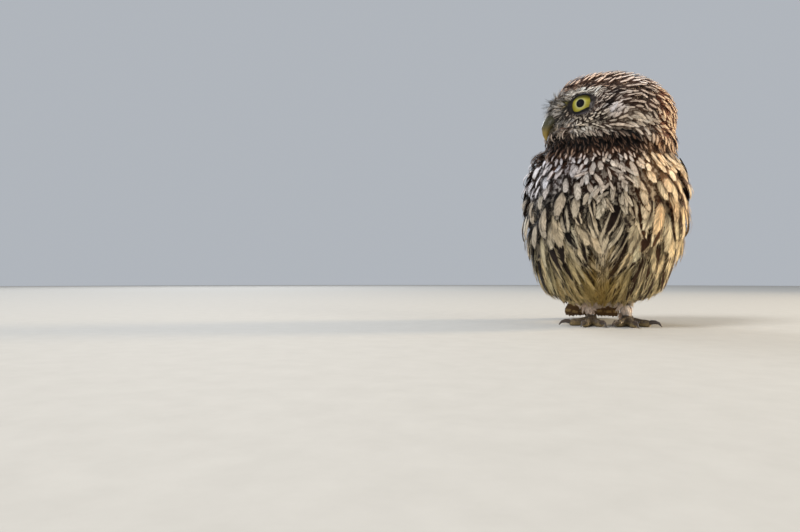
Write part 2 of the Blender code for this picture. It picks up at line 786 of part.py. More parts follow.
def wing_feather(side, tier, number, chance, collection):
    """A feather of one tier of a wing, counted from the lower edge."""
    order = number / (tier.count - 1)
    root_along, root_across = (a + (b - a) * order for a, b in zip(*tier.roots))
    tip_along, tip_across = (a + (b - a) * order for a, b in zip(*tier.tips))
    tip_along += chance.uniform(-TIP_VARIATION, TIP_VARIATION)
    width = tier.widths[0] + (tier.widths[1] - tier.widths[0]) * order
    width *= chance.uniform(1 - WIDTH_VARIATION, 1 + WIDTH_VARIATION)
    height = tier.level * edge_fall(root_across)

    def place(share, across):
        along = min(1.0, root_along + (tip_along - root_along) * share)
        middle = root_across + (tip_across - root_across) * share
        lift = height - tier.roll * across - VANE_SINK * max(0.0, 1 - share / VANE_SHAPE[1][0])
        offset = across * width / 2 / wing_breadth(along)
        return wing_place(side, along, middle + offset, lift)

    return vane("feather", place, collection)


def make_wing(parts, finishes, walls, name, side):
    wing = wing_core("wing_" + name, side, parts)
    feathers = new_collection("wing_feathers")
    chance = random.Random(SEED)
    for tier in WING_TIERS:
        for number in range(tier.count):
            wing_feather(side, tier, number, chance, feathers)
    fuse(wing, feathers)
    for wall in walls:
        combine(wing, wall, "DIFFERENCE")
    finish(wing, finishes["wing"])


def main():
    clear_scene()
    parts = new_collection("little_owl")
    tools = new_collection("cutters")
    finishes = {
        "crown": material("crown", (0.20, 0.13, 0.08), 0.85),
        "throat": material("throat", (0.30, 0.22, 0.15), 0.85),
        "breast": material("breast", (0.55, 0.47, 0.36), 0.85),
        "wing": material("wing", (0.22, 0.15, 0.09), 0.8),
        "tail": material("tail", (0.26, 0.18, 0.11), 0.8),
        "leg": material("leg", (0.72, 0.65, 0.54), 0.85),
        "foot": material("foot", (0.32, 0.28, 0.20), 0.7),
        "claw": material("claw", (0.05, 0.045, 0.04), 0.35),
        "bill": material("bill", (0.45, 0.42, 0.14), 0.4),
        "eye": material("eye", (0.72, 0.66, 0.10), 0.1),
    }
    head_wall, neck_wall, torso_wall = make_head_and_trunk(parts, tools, finishes)
    make_eyes(parts, finishes)
    make_bill(parts, tools, finishes, (head_wall, neck_wall))
    for name, top, ankle in FEET:
        make_leg(parts, tools, finishes, torso_wall, name, top, ankle)
    make_tail(parts, tools, finishes, torso_wall)
    tail_wall = tail_slab("tail_wall", tools)
    for name, side in (("left", 1), ("right", -1)):
        make_wing(parts, finishes, (torso_wall, neck_wall, head_wall, tail_wall), name, side)
    for tool in list(tools.objects):
        remove(tool)
    for obj in parts.objects:
        obj.data.transform(Matrix.Translation(CENTRING))


main()
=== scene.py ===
"""Looks of the little owl: one skin, the coat of feathers that lies over it, wings, tail, eyes, bill and feet.

Lengths are in metres, and names that part.py shares have its values, apart from the eyes' middles and outward turn,
which are fitted to the photo. Zones of the coat are set out in millimetres, because they are read off the owl so.
"""

import collections
import itertools
import math

import bmesh
import bpy
import numpy as np
from mathutils import Matrix, Vector
from mathutils.bvhtree import BVHTree
from mathutils.kdtree import KDTree

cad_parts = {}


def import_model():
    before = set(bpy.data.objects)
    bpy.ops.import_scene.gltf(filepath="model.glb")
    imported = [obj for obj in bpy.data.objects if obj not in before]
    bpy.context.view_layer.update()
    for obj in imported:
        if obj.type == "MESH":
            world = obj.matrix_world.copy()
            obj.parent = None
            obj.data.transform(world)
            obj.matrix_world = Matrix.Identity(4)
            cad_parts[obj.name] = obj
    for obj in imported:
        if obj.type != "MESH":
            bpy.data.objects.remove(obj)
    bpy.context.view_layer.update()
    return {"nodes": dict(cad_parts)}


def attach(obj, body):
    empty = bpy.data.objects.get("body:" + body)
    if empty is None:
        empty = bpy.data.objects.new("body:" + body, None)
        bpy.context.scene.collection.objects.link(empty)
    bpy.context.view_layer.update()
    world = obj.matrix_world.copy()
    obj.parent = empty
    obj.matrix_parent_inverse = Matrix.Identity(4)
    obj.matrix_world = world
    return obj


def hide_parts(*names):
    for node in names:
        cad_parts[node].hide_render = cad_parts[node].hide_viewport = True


MM = 0.001
CENTRING = Vector((0.6 * MM, -16.2 * MM, 0))
SEED = 11

# Camera, as it stood for the photograph. It looks 205 pixels to the left of the owl and 14 pixels above level.
PICTURE_WIDTH = 800
FOCAL_PIXELS = 622.0
CAMERA_PLACE = Vector((0.6 * MM, -434.2 * MM, 28.7 * MM))
CAMERA_YAW = math.atan(205 / FOCAL_PIXELS)
CAMERA_PITCH = math.atan(14 / FOCAL_PIXELS)

# Body, head and eyes. A torso station is a height, then the half width and the depths to front and back.
LEAN = 0.04
LEAN_HEIGHT = 92 * MM
SWING = 0.15
SWING_START = 25 * MM
TORSO_BOTTOM = 13 * MM
TORSO_TOP = 141 * MM
LOWER_ROUNDNESS = 2.4
UPPER_ROUNDNESS = 2.0
TORSO_STATIONS = np.array(
    (
        (13, 58, 47, 60),
        (24, 55.5, 47, 61),
        (36, 52, 47, 59),
        (51, 50.3, 46, 54),
        (70, 48.3, 45.5, 50),
        (89, 46.6, 44, 47),
        (105, 45.5, 41.5, 45),
        (118, 46, 39, 43),
        (141, 46, 37, 42),
    )
)
HEAD_CENTRE = Vector((5.0 * MM, -1 * MM, 131.3 * MM))
HEAD_YAW = math.radians(-62)
HEAD_PITCH = math.radians(5)
EYE_RADIUS = 8.0 * MM
EYE_CENTRE = Vector((12.2 * MM, -24.4 * MM, 1.5 * MM))
EYE_OUTWARD = math.radians(40)
EYE_UPWARD = math.radians(2)
GAZE_TURN = math.radians(2)
GAZE_DROP = math.radians(5)
GLOBE_MAP = 20.0

# Tail and wings, as in part.py.
TAIL_ROOT = Vector((0, 30 * MM, 46 * MM))
TAIL_TIP = Vector((0, 75.5 * MM, 0.6 * MM))
TAIL_FEATHERS = 12
TAIL_ROOT_SPREAD = 12 * MM
TAIL_TIP_SPREAD = 26 * MM
WING_LOWER_EDGE = np.array(((40, -22, 107), (56.5, -22, 70), (46, 30, 34), (13, 72, 9))) * MM
WING_UPPER_EDGE = np.array(((19, 29, 111), (2.5, 52, 90), (0.5, 60, 55), (2.2, 70, 19))) * MM
LEFT_WING_TUCK = np.array((-5.5, 4, 0)) * MM
WING_SWELL = 0.12
WING_CLEARANCE = 0.6 * MM

# Skin: how finely it is divided, how far its bodies grow to join, and how far along the wing its bed runs and how high.
SKIN_NODES = ("torso", "neck", "head", "leg_left", "leg_right")
SKIN_VOXEL = 1.4 * MM
JOIN_GROWTH = 0.35 * MM
BED_END = 0.72
BED_LIFT = 2.6 * MM

# Feathers: how many places to root one in are tried, the points of the line that one follows, its least height over
# the floor, and how much of the bake map it takes.
COAT_TRIES = 90000
BRISTLE_TRIES = 60000
SPINE_ROWS = 6
LEAST_HEIGHT = 0.2 * MM
PATCH = 0.003

# Belly feathers run in lines that lean towards the middle. In millimetres, how fast they lean with height, where this
# slackens and how softly, and where it ends. Then in radians round the body, how far it reaches and how far apart the
# dark streaks along the lines are.
LEANING = 46.0
BEND_START = 55.0
BEND = 80.0
LEANING_TOP = 95.0
LEANING_REACH = 1.6
STREAK_STEP = 0.20


def tone(red, green, blue):
    """A colour named on the 0 to 255 scale, as the shaders take it."""
    share = np.array((red, green, blue)) / 255
    return np.where(share <= 0.04045, share / 12.92, ((share + 0.055) / 1.055) ** 2.4)


def smooth(low, high, value):
    """0 at low, 1 at high, with a soft rise between."""
    t = np.clip((value - low) / (high - low), 0, 1)
    return t * t * (3 - 2 * t)


def bump(middle, width, value):
    """1 at the middle, falling off as a bell."""
    return np.exp(-(((value - middle) / width) ** 2))


def unit(vectors):
    return vectors / np.maximum(np.linalg.norm(vectors, axis=-1, keepdims=True), 1e-12)


def off_turn(angle, degrees):
    """How far an angle is past so many degrees, from half a turn back to half a turn on."""
    return (angle - math.radians(degrees) + math.pi) % (2 * math.pi) - math.pi


def head_frame():
    """Takes the head's own frame to the owl's."""
    turn = Matrix.Rotation(HEAD_YAW, 4, "Z") @ Matrix.Rotation(-HEAD_PITCH, 4, "X")
    return Matrix.Translation(CENTRING + HEAD_CENTRE) @ turn


def eye_axis(side):
    """The middle of an eyeball and its gaze in the head's frame. Side is 1 for the left eye and -1 for the right."""
    centre = (side * EYE_CENTRE.x, EYE_CENTRE.y, EYE_CENTRE.z)
    return centre, (side * math.sin(EYE_OUTWARD), -math.cos(EYE_OUTWARD), math.tan(EYE_UPWARD))


def eye_frame(side):
    """Takes a frame with +Z along the gaze and its origin at the eyeball's centre to the owl's frame."""
    centre, gaze = eye_axis(side)
    turn = Vector(gaze).to_track_quat("Z", "Y").to_matrix().to_4x4()
    return head_frame() @ Matrix.Translation(centre) @ turn


HEAD_TURN = np.array(head_frame().to_3x3())
HEAD_PLACE = np.array(head_frame().translation)


def in_head(points):
    """Points in the head's frame, in millimetres. Its bill is towards -Y and its left eye at +X."""
    return (points - HEAD_PLACE) @ HEAD_TURN / MM


def in_body(points):
    """Points in millimetres in the body's frame, whose origin is under the middle of the torso."""
    return (points - np.array(CENTRING)) / MM


# Camera and light


def set_camera():
    data = bpy.data.cameras.new("camera")
    data.sensor_width = 36
    data.lens = FOCAL_PIXELS / PICTURE_WIDTH * data.sensor_width
    data.clip_start = 5 * MM
    camera = bpy.data.objects.new("camera", data)
    ahead = Vector(
        (
            -math.sin(CAMERA_YAW) * math.cos(CAMERA_PITCH),
            math.cos(CAMERA_YAW) * math.cos(CAMERA_PITCH),
            math.sin(CAMERA_PITCH),
        )
    )
    camera.location = CAMERA_PLACE
    camera.rotation_euler = ahead.to_track_quat("-Z", "Y").to_euler()
    bpy.context.scene.collection.objects.link(camera)
    bpy.context.scene.camera = camera


def add_softbox(name, place, aim, size, power, colour, spread=180, in_eyes=True, in_coat=True):
    """A round softbox. It may be left out of what the wet eyes mirror, or of what lights the coat."""
    data = bpy.data.lights.new(name, "AREA")
    data.shape = "DISK"
    data.size = size
    data.energy = power
    data.spread = math.radians(spread)
    data.color = colour
    light = bpy.data.objects.new(name, data)
    light.location = place
    light.rotation_euler = (Vector(aim) - Vector(place)).to_track_quat("-Z", "Y").to_euler()
    light.visible_glossy = in_eyes
    light.visible_diffuse = in_coat
    bpy.context.scene.collection.objects.link(light)


def set_studio():
    world = bpy.data.worlds.new("studio")
    world.use_nodes = True
    backdrop = world.node_tree.nodes["Background"]
    backdrop.inputs["Color"].default_value = (0.78, 0.83, 0.90, 1)
    backdrop.inputs["Strength"].default_value = 0.56
    bpy.context.scene.world = world
    middle = (0, -0.01, 0.085)
    add_softbox("softbox_sky", (-1.2, -1.6, 2.3), middle, 1.1, 68.0, (0.94, 0.96, 1.0), in_eyes=False)
    add_softbox("softbox_glint", (-1.6, -1.35, 0.92), middle, 0.3, 3.0, (0.72, 0.85, 1.0), in_coat=False)
    add_softbox("softbox_front", (0.3, -2.7, 0.75), middle, 1.6, 8.0, (1.0, 0.97, 0.93), in_eyes=False)
    add_softbox("softbox_side", (2.3, -1.1, 0.9), middle, 1.0, 3.0, (1.0, 0.88, 0.70), 80, in_eyes=False)
    add_softbox("softbox_rim", (1.9, 0.9, 0.8), middle, 0.6, 8.4, (1.0, 0.79, 0.50), 80)
    add_softbox("softbox_back", (-1.5, 1.8, 1.35), middle, 1.2, 24.0, (0.92, 0.95, 1.0))
    view = bpy.context.scene.view_settings
    view.view_transform = "Standard"
    view.look = "None"


# Meshes


def object_of(name, mesh, materials=()):
    piece = bpy.data.objects.new(name, mesh)
    for material in materials:
        mesh.materials.append(material)
    bpy.context.scene.collection.objects.link(piece)
    return piece


def object_from_bmesh(name, bm, material, shaded_smooth=True):
    mesh = bpy.data.meshes.new(name)
    bmesh.ops.recalc_face_normals(bm, faces=bm.faces)
    bm.to_mesh(mesh)
    bm.free()
    if shaded_smooth:
        mesh.shade_smooth()
    return object_of(name, mesh, [material])


def smooth_out(bm, rounds):
    for _ in range(rounds):
        bmesh.ops.smooth_vert(bm, verts=bm.verts, factor=0.5, use_axis_x=True, use_axis_y=True, use_axis_z=True)


def remeshed(bm, name, voxel, rounds):
    """A closed, evenly divided copy of closed bodies that touch or overlap, smoothed a few rounds."""
    mesh = bpy.data.meshes.new(name)
    bm.to_mesh(mesh)
    bm.free()
    body = object_of(name, mesh)
    remesh = body.modifiers.new("even", "REMESH")
    remesh.mode = "VOXEL"
    remesh.voxel_size = voxel
    graph = bpy.context.evaluated_depsgraph_get()
    even = bmesh.new()
    even.from_mesh(body.evaluated_get(graph).to_mesh())
    bpy.data.objects.remove(body)
    bpy.data.meshes.remove(mesh)
    smooth_out(even, rounds)
    return even


def add_node_copy(bm, node, by=0.0):
    """Adds a copy of a CAD node's mesh with its doubles merged, grown a little."""
    copy = bmesh.new()
    copy.from_mesh(node.data)
    bmesh.ops.remove_doubles(copy, verts=copy.verts, dist=1e-6)
    copy.normal_update()
    grown = [vert.co + vert.normal * by for vert in copy.verts]
    for vert, place in zip(copy.verts, grown):
        vert.co = place
    mesh = bpy.data.meshes.new("copy")
    copy.to_mesh(mesh)
    copy.free()
    bm.from_mesh(mesh)
    bpy.data.meshes.remove(mesh)


def map_points(bm, name, spot_of):
    """A UV layer in which each vertex has the spot that a function gives for it."""
    layer = bm.loops.layers.uv.new(name)
    for loop in itertools.chain.from_iterable(face.loops for face in bm.faces):
        loop[layer].uv = spot_of(loop.vert)


# The surface that the folded wings follow


def stations_at(places):
    """The torso's half width, front and back at these heights in millimetres, as part.py has them."""
    rows, values = TORSO_STATIONS[:, 0], TORSO_STATIONS[:, 1:]
    slopes = np.gradient(values, rows, axis=0)
    places = np.clip(places, rows[0], rows[-1])
    i = np.clip(np.searchsorted(rows, places, side="right") - 1, 0, len(rows) - 2)
    span = (rows[i + 1] - rows[i])[:, None]
    t = ((places - rows[i]) / span[:, 0])[:, None]
    start = (2 * t**3 - 3 * t**2 + 1) * values[i] + (t**3 - 2 * t**2 + t) * span * slopes[i]
    end = (3 * t**2 - 2 * t**3) * values[i + 1] + (t**3 - t**2) * span * slopes[i + 1]
    return start + end


def torso_radius(heights, angles):
    middle = (TORSO_BOTTOM + TORSO_TOP) / 2
    half = (TORSO_TOP - TORSO_BOTTOM) / 2
    level = np.clip((heights - middle) / half, -1, 1)
    roundness = np.where(level > 0, UPPER_ROUNDNESS, LOWER_ROUNDNESS)
    narrowing = (1 - np.abs(level) ** roundness) ** (1 / roundness)
    width, front, back = (stations_at(heights / MM) * narrowing[:, None] * MM).T
    depth = np.where(np.cos(angles) > 0, back, front)
    inverse = np.hypot(np.sin(angles) / np.maximum(width, 1e-6), np.cos(angles) / np.maximum(depth, 1e-6))
    return 1 / inverse


def bezier(points, t):
    t = t[:, None]
    a, b, c, d = points
    return a * (1 - t) ** 3 + b * 3 * t * (1 - t) ** 2 + c * 3 * t * t * (1 - t) + d * t**3


def leaned(points):
    shift = LEAN * (points[:, 2] - LEAN_HEIGHT) - SWING * np.maximum(0, points[:, 1] - SWING_START)
    return points + np.stack((shift, np.zeros_like(shift), np.zeros_like(shift)), axis=1)


def wing_place(side, along, across, lift):
    """Points of the folded wing and its outward normals. Along runs from the wrist, across from the lower edge."""
    along, across, lift = (np.atleast_1d(np.asarray(a, float)) for a in (along, across, lift))
    along, across, lift = np.broadcast_arrays(along, across, lift)
    low = bezier(WING_LOWER_EDGE, along)
    high = bezier(WING_UPPER_EDGE, along)
    flat = low + (high - low) * across[:, None]
    if side > 0:
        flat = flat + LEFT_WING_TUCK * ((1 - along) ** 2)[:, None]
    outward = unit(flat * (1, 1, 0))
    breadth = np.linalg.norm(high - low, axis=1)
    flat = flat + outward * np.maximum(0, 4 * across * (1 - across) * breadth * WING_SWELL)[:, None]
    radius = np.hypot(flat[:, 0], flat[:, 1])
    least = torso_radius(flat[:, 2], np.arctan2(flat[:, 0], flat[:, 1])) + WING_CLEARANCE
    held = (radius + least + np.hypot(radius - least, 2.5 * MM)) / 2
    normal = unit(outward + (0, 0, 0.35))
    place = outward * held[:, None] + normal * lift[:, None]
    place[:, 2] += flat[:, 2]
    mirror = np.array((side, 1, 1))
    return leaned(place * mirror) + np.array(CENTRING), normal * mirror


def wing_bed(bm, side):
    """The feathered arm of the wing as a thick closed sheet, to be joined to the skin."""
    steps, ribs = 14, 10
    verts = bmesh.ops.create_grid(bm, x_segments=steps, y_segments=ribs, size=1)["verts"]
    places = np.array([vert.co for vert in verts])
    along = (places[:, 0] + 1) / 2 * BED_END
    across = (places[:, 1] + 1) / 2
    rim = smooth(0.02, 0.32, across) * smooth(0, 0.12, 1 - across) * smooth(0, 0.1, along + 0.02)
    lift = BED_LIFT * (0.05 + 0.95 * rim) * (1 - 1.25 * smooth(0.2, 0.46, along))
    outside, _ = wing_place(side, along, across, lift)
    for vert, place in zip(verts, outside):
        vert.co = place
    faces = list({face for vert in verts for face in vert.link_faces})
    made = bmesh.ops.extrude_face_region(bm, geom=faces)
    inner = [item for item in made["geom"] if isinstance(item, bmesh.types.BMVert)]
    middle = np.array(CENTRING)
    for vert in inner:
        inward = Vector((middle[0] - vert.co.x, middle[1] - vert.co.y, 0)).normalized()
        vert.co += inward * (9 * MM)


def sampled_wings():
    """Places of both wings, which way the feathers run there, and how far along and across each is."""
    along, across = (grid.ravel() for grid in np.meshgrid(np.linspace(0, 0.66, 34), np.linspace(0, 1, 30)))
    places, courses, shares = [], [], []
    for side in (1, -1):
        here, _ = wing_place(side, along, across, BED_LIFT)
        ahead, _ = wing_place(side, along + 0.02, across, BED_LIFT)
        places.append(here)
        courses.append(unit(ahead - here))
        shares.append(np.stack((along, across), axis=1))
    return np.concatenate(places), np.concatenate(courses), np.concatenate(shares)


WING_PLACES, WING_COURSES, WING_SHARES = sampled_wings()


def tree_of(places):
    tree = KDTree(len(places))
    for number, place in enumerate(places.tolist()):
        tree.insert(place, number)
    tree.balance()
    return tree


WING_TREE = tree_of(WING_PLACES)


def nearest_wing(points):
    """The distance of each point in millimetres from the nearest wing place, that place's course and its shares."""
    found = [WING_TREE.find(point) for point in points.tolist()]
    index = np.array([number for _, number, _ in found], int)
    distance = np.array([gap for _, _, gap in found])
    return distance / MM, WING_COURSES[index], WING_SHARES[index]


# How the coat lies and what it looks like in each zone


def lid_reach(angle):
    """How far the lids' edge is from the middle of the eye over the globe, in millimetres. Angle 0 is to the ear."""
    x, y = np.cos(angle), np.sin(angle)
    half_height = np.where(y > 0, 5.0, 5.6)
    half_width = np.where(x > 0, 9.2, 8.4)
    reach = ((np.abs(x) / half_width) ** 2.3 + (np.abs(y) / half_height) ** 2.3) ** (-1 / 2.3)
    return reach + bump(0, 0.3, off_turn(angle, 192))


def lid_droop(angle):
    """How much further in the lids' bare edge comes, in millimetres: it rises under the eye towards the ear."""
    bumps = ((-36, 2.1, 0.55), (-80, 0.7, 0.4), (105, 0.6, 0.6), (180, 0.5, 0.5))
    return sum(amount * bump(0, width, off_turn(angle, turn)) for turn, amount, width in bumps)


def around_eyes(head):
    """Of the nearer eye: the distance from its axis, the direction away from it, the distance past the lids' edge, and
    the turn round it from the ear upward."""
    distance = np.full(len(head), 1e3)
    away = np.zeros_like(head)
    turn = np.zeros(len(head))
    for side in (1, -1):
        centre, gaze = (np.array(axis) for axis in eye_axis(side))
        gaze /= np.linalg.norm(gaze)
        from_centre = head - centre / MM
        depth = from_centre @ gaze
        radial = from_centre - depth[:, None] * gaze
        reach = np.linalg.norm(radial, axis=1) + 60 * (depth < -2)
        nearer = reach < distance
        distance = np.where(nearer, reach, distance)
        away = np.where(nearer[:, None], radial, away)
        earward = np.array((side * math.cos(EYE_OUTWARD), math.sin(EYE_OUTWARD), 0))
        turn = np.where(nearer, np.arctan2(radial[:, 2], radial @ earward), turn)
    lid = EYE_RADIUS / MM * np.sin(lid_reach(turn) * MM / EYE_RADIUS)
    return distance, unit(away), distance - lid, turn


def flow_round(x, y, z):
    """How the belly's lines run at places in the body's frame: the distance from its leaning middle, the angle from the
    front, how far the lines have turned towards the middle from the ground up, and how fast they turn."""
    from_middle = x - LEAN * (z - LEAN_HEIGHT / MM)
    angle = np.arctan2(np.abs(from_middle), -y)
    level = np.clip(z, 0, LEANING_TOP)
    above = np.clip(level - BEND_START, 0, None)
    return from_middle, angle, (level - above**2 / BEND) / LEANING, (1 - above / (BEND / 2)) / LEANING


def on_dark_line(x, y, z):
    """1 in the middle of a dark line of the belly, 0 between lines."""
    from_middle, angle, turned, _ = flow_round(x, y, z)
    line = (angle - turned * np.clip(1 - angle / LEANING_REACH, 0, None)) / STREAK_STEP
    off = np.abs((line + 0.56 + 0.37 * (from_middle > 0)) % 1 - 0.5)
    return smooth(0.31, 0.17, off)


def toward(course, other, share):
    """A course that turns to another by a share of the way at each point."""
    return course + (other - course) * share[:, None]


def lie_of(points, normals):
    """The direction that feathers take over the skin."""
    head = in_head(points)
    x, y, z = in_body(points).T
    hx, hy, hz = head.T
    side = np.where(hx >= 0, 1.0, -1.0)
    from_eye, away, _, _ = around_eyes(head)

    from_middle, angle, turned, slope = flow_round(x, y, z)
    turning = LEANING * slope * np.clip(1 - angle / LEANING_REACH, 0, None) / (1 + turned / LEANING_REACH)
    under = smooth(0.2, 0.8, -normals[:, 2])
    inward = -np.clip(from_middle / 3, -1, 1) * np.cos(angle) * turning
    body = np.stack((inward, 0.1 - np.sin(angle) * turning + 1.2 * under, -np.ones_like(x)), axis=1)

    def head_course(outward, back, up):
        return np.stack((outward * side, np.full_like(side, back), np.full_like(side, up)), axis=1)

    # Cheek, crown, nape and fringe, then round the eye, along the brow, and forward over the bill's base.
    top = smooth(2, 12, hz)
    course = toward(head_course(0.5, 0.62, 0.42), head_course(0.12, 1, 0.05), top)
    course = toward(course, head_course(0.1, 0.72, -0.62), smooth(-14, 4, hy) * (1 - 0.5 * top))
    course = toward(course, head_course(0.25, 0.55, -0.9), smooth(-9, -16, hz))
    course = toward(course, away, smooth(14, 9, from_eye) * smooth(-23, -30, hy) * (1 - 0.85 * smooth(5, 8, hz)))
    course = toward(course, head_course(0.5, 0.86, -0.02), bump(8.8, 2.6, hz) * smooth(-18, -22, hy))
    jaw = smooth(-7, -13, hz)
    forward = unit(head - np.stack((8 * side, -28 + 8 * jaw, 2 - 9 * jaw), axis=1))
    lore = smooth(12, 8, np.abs(hx)) * smooth(-26, -31, hy) * smooth(7.5, 5, hz) * smooth(-21, -17, hz)
    course = toward(course, forward, lore)
    on_head = smooth(-24, -17, hz)
    direction = toward(body, unit(course) @ HEAD_TURN.T, on_head)

    wing_gap, wing_course, wing_share = nearest_wing(points)
    over_edge = smooth(11, 6, wing_gap) * (1 - on_head) * smooth(0.4, 0.2, wing_share[:, 1]) * smooth(105, 96, z)
    direction = direction + over_edge[:, None] * (0, 0.45, 0)
    on_wing = smooth(5.5, 3, wing_gap) * (1 - on_head) * smooth(0.2, 0.38, wing_share[:, 1])
    direction = toward(direction, wing_course, on_wing)
    return unit(direction - normals * (direction * normals).sum(1, keepdims=True))


COLOURS = ("pale", "dark")


class Zones:
    """The coat's sizes, colours and markings at a set of points, laid on zone by zone.

    Sizes are in millimetres, and colours are named on the 0 to 255 scale. A marking is a pale lobe on a dark feather,
    with its half width, start and end as shares of the feather, and a dark streak along the shaft with its half width.
    """

    def __init__(self, count, **values):
        self.values = {name: np.zeros((count, 3) if name in COLOURS else count) for name in values}
        self.lay(np.ones(count), **values)

    def __getattr__(self, name):
        return self.values[name]

    def lay(self, share, **values):
        share = np.clip(share, 0, 1)
        for name, value in values.items():
            now = self.values[name]
            if name in COLOURS:
                self.values[name] = toward(now, tone(*value), share)
            else:
                self.values[name] = now + (value - now) * share


def lay_body(lay, x, y, z, normals):
    """Breast, flanks, belly, back and neck, and how much each point is on the back."""
    # Flanks have larger lobes, and the belly long cream feathers in streaked lines.
    lower = smooth(96, 80, z)
    lay(lower, length=20, width=10.4, spacing=5.4, stretch=1.8, lobe=0.63, start=0.28, stripes=0.3, fluff=0.6)
    lay(lower, stiff=0.12, pale=(190, 175, 152), dark=(28, 17, 10))
    belly = smooth(76, 56, z + 0.9 * np.clip(np.abs(x) - 13, 0, 25))
    lay(belly, length=20, width=5.4, spacing=2.9, stretch=2.2, lobe=1.2, start=-0.4, end=1.4, stripes=0.85)
    lay(belly, pale=(183, 167, 136), dark=(26, 16, 10), stiff=0.15, fluff=0.8)
    lay(belly * on_dark_line(x, y, z), streak=0.62)
    lay(belly * bump(0, 14, x), lobe=0.76, start=0.0, end=1.3, pale=(196, 178, 148))
    middle = bump(2, 17, x) * smooth(74, 82, z) * smooth(104, 97, z)
    lay(middle, length=13, width=3.0, spacing=2.3, stretch=1.3, lobe=0.56, start=0.36, end=1.4, fluff=1)
    lay(middle, pale=(196, 180, 162), dark=(58, 38, 27), stray=0.55, stiff=0.3, stripes=0.3)
    # Painted sunlight and sky light: the side towards the low sun is painted golden, with wider lobes above, and the
    # side towards the sky is painted bluish.
    lay(smooth(10, 30, x) * smooth(74, 86, z), lobe=0.74, start=0.38)
    lay(0.9 * smooth(8, 32, x) * smooth(8, 30, z), pale=(245, 214, 168), dark=(104, 66, 34))
    lay(smooth(20, 34, x) * smooth(76, 88, z), pale=(248, 222, 184), dark=(134, 98, 66))
    lay(0.6 * bump(24, 14, x) * smooth(84, 76, z), dark=(52, 32, 18))
    lay(0.7 * bump(-26, 16, x) * bump(64, 18, z), lobe=0.50, dark=(16, 10, 7))
    # Painted sky light: a bluish pale on the side towards the sky.
    lay(0.4 * smooth(4, -30, x) * smooth(66, 92, z), pale=(184, 184, 198))
    # Under the belly the coat is short, downy and yellower.
    vent = smooth(0.35, 0.8, -normals[:, 2]) * smooth(36, 22, z)
    lay(vent, length=10, width=4.0, spacing=2.4, stretch=1.2, depth=2.2, stripes=0, pale=(206, 186, 136), fluff=1)
    lay(0.5 * smooth(52, 30, z), pale=(206, 182, 128))
    # Painted sunlight: the pale low on the sunny side is painted brighter.
    lay(0.7 * smooth(6, 18, x) * bump(34, 24, z), pale=(245, 224, 176), stripes=0.7)
    lay(0.85 * bump(-2, 12, x) * smooth(44, 26, z), pale=(158, 128, 56), dark=(80, 56, 18), streak=0)
    # Shoulder on the sky side: dark, with fine bluish-white streaks.
    shoulder = smooth(-27, -36, x) * smooth(74, 84, z)
    lay(shoulder, length=11, width=4.8, spacing=2.9, stretch=1.5, lobe=0.62, start=0.24, stripes=0)
    lay(shoulder, pale=(230, 226, 228), dark=(62, 46, 38))
    # Back and rump: brown, with a pale spot near each tip.
    back = smooth(2, 18, y) * smooth(-0.1, 0.3, normals[:, 1])
    lay(back, length=15, width=9, spacing=4.8, stretch=1.2, lobe=0.40, start=0.56, end=0.92, fluff=0, stripes=0)
    lay(back, pale=(206, 190, 164), dark=(88, 62, 45), stiff=0.3, streak=0)
    rump = smooth(20, 34, y) * smooth(46, 30, z) * smooth(0.1, -0.5, normals[:, 2])
    lay(rump, length=20, width=6.5, spacing=3.8, lobe=1.6, start=-0.6, end=1.7, pale=(208, 192, 156), streak=0)
    # Neck, painted golden towards the sun as painted sunlight.
    neck = smooth(103, 110, z)
    lay(neck, length=10, width=4.6, spacing=2.8, stretch=1.4, depth=2.8, lobe=0.36, start=0.5, end=1.15, stripes=0)
    ruff = smooth(98, 104, z) * smooth(0.3, -0.2, normals[:, 1])
    lay(ruff, length=10, width=4.0, spacing=2.5, lobe=0.34, start=0.4, fluff=0.6, stray=0.25)
    lay(ruff, pale=(168, 138, 114), dark=(64, 42, 30))
    # Painted sunlight: golden colours on the side towards the sun.
    lay(neck * smooth(16, 34, x), pale=(212, 168, 124), dark=(112, 66, 34), rise=0.8)
    lay(neck * smooth(-8, -24, x), rise=5.2)
    return back


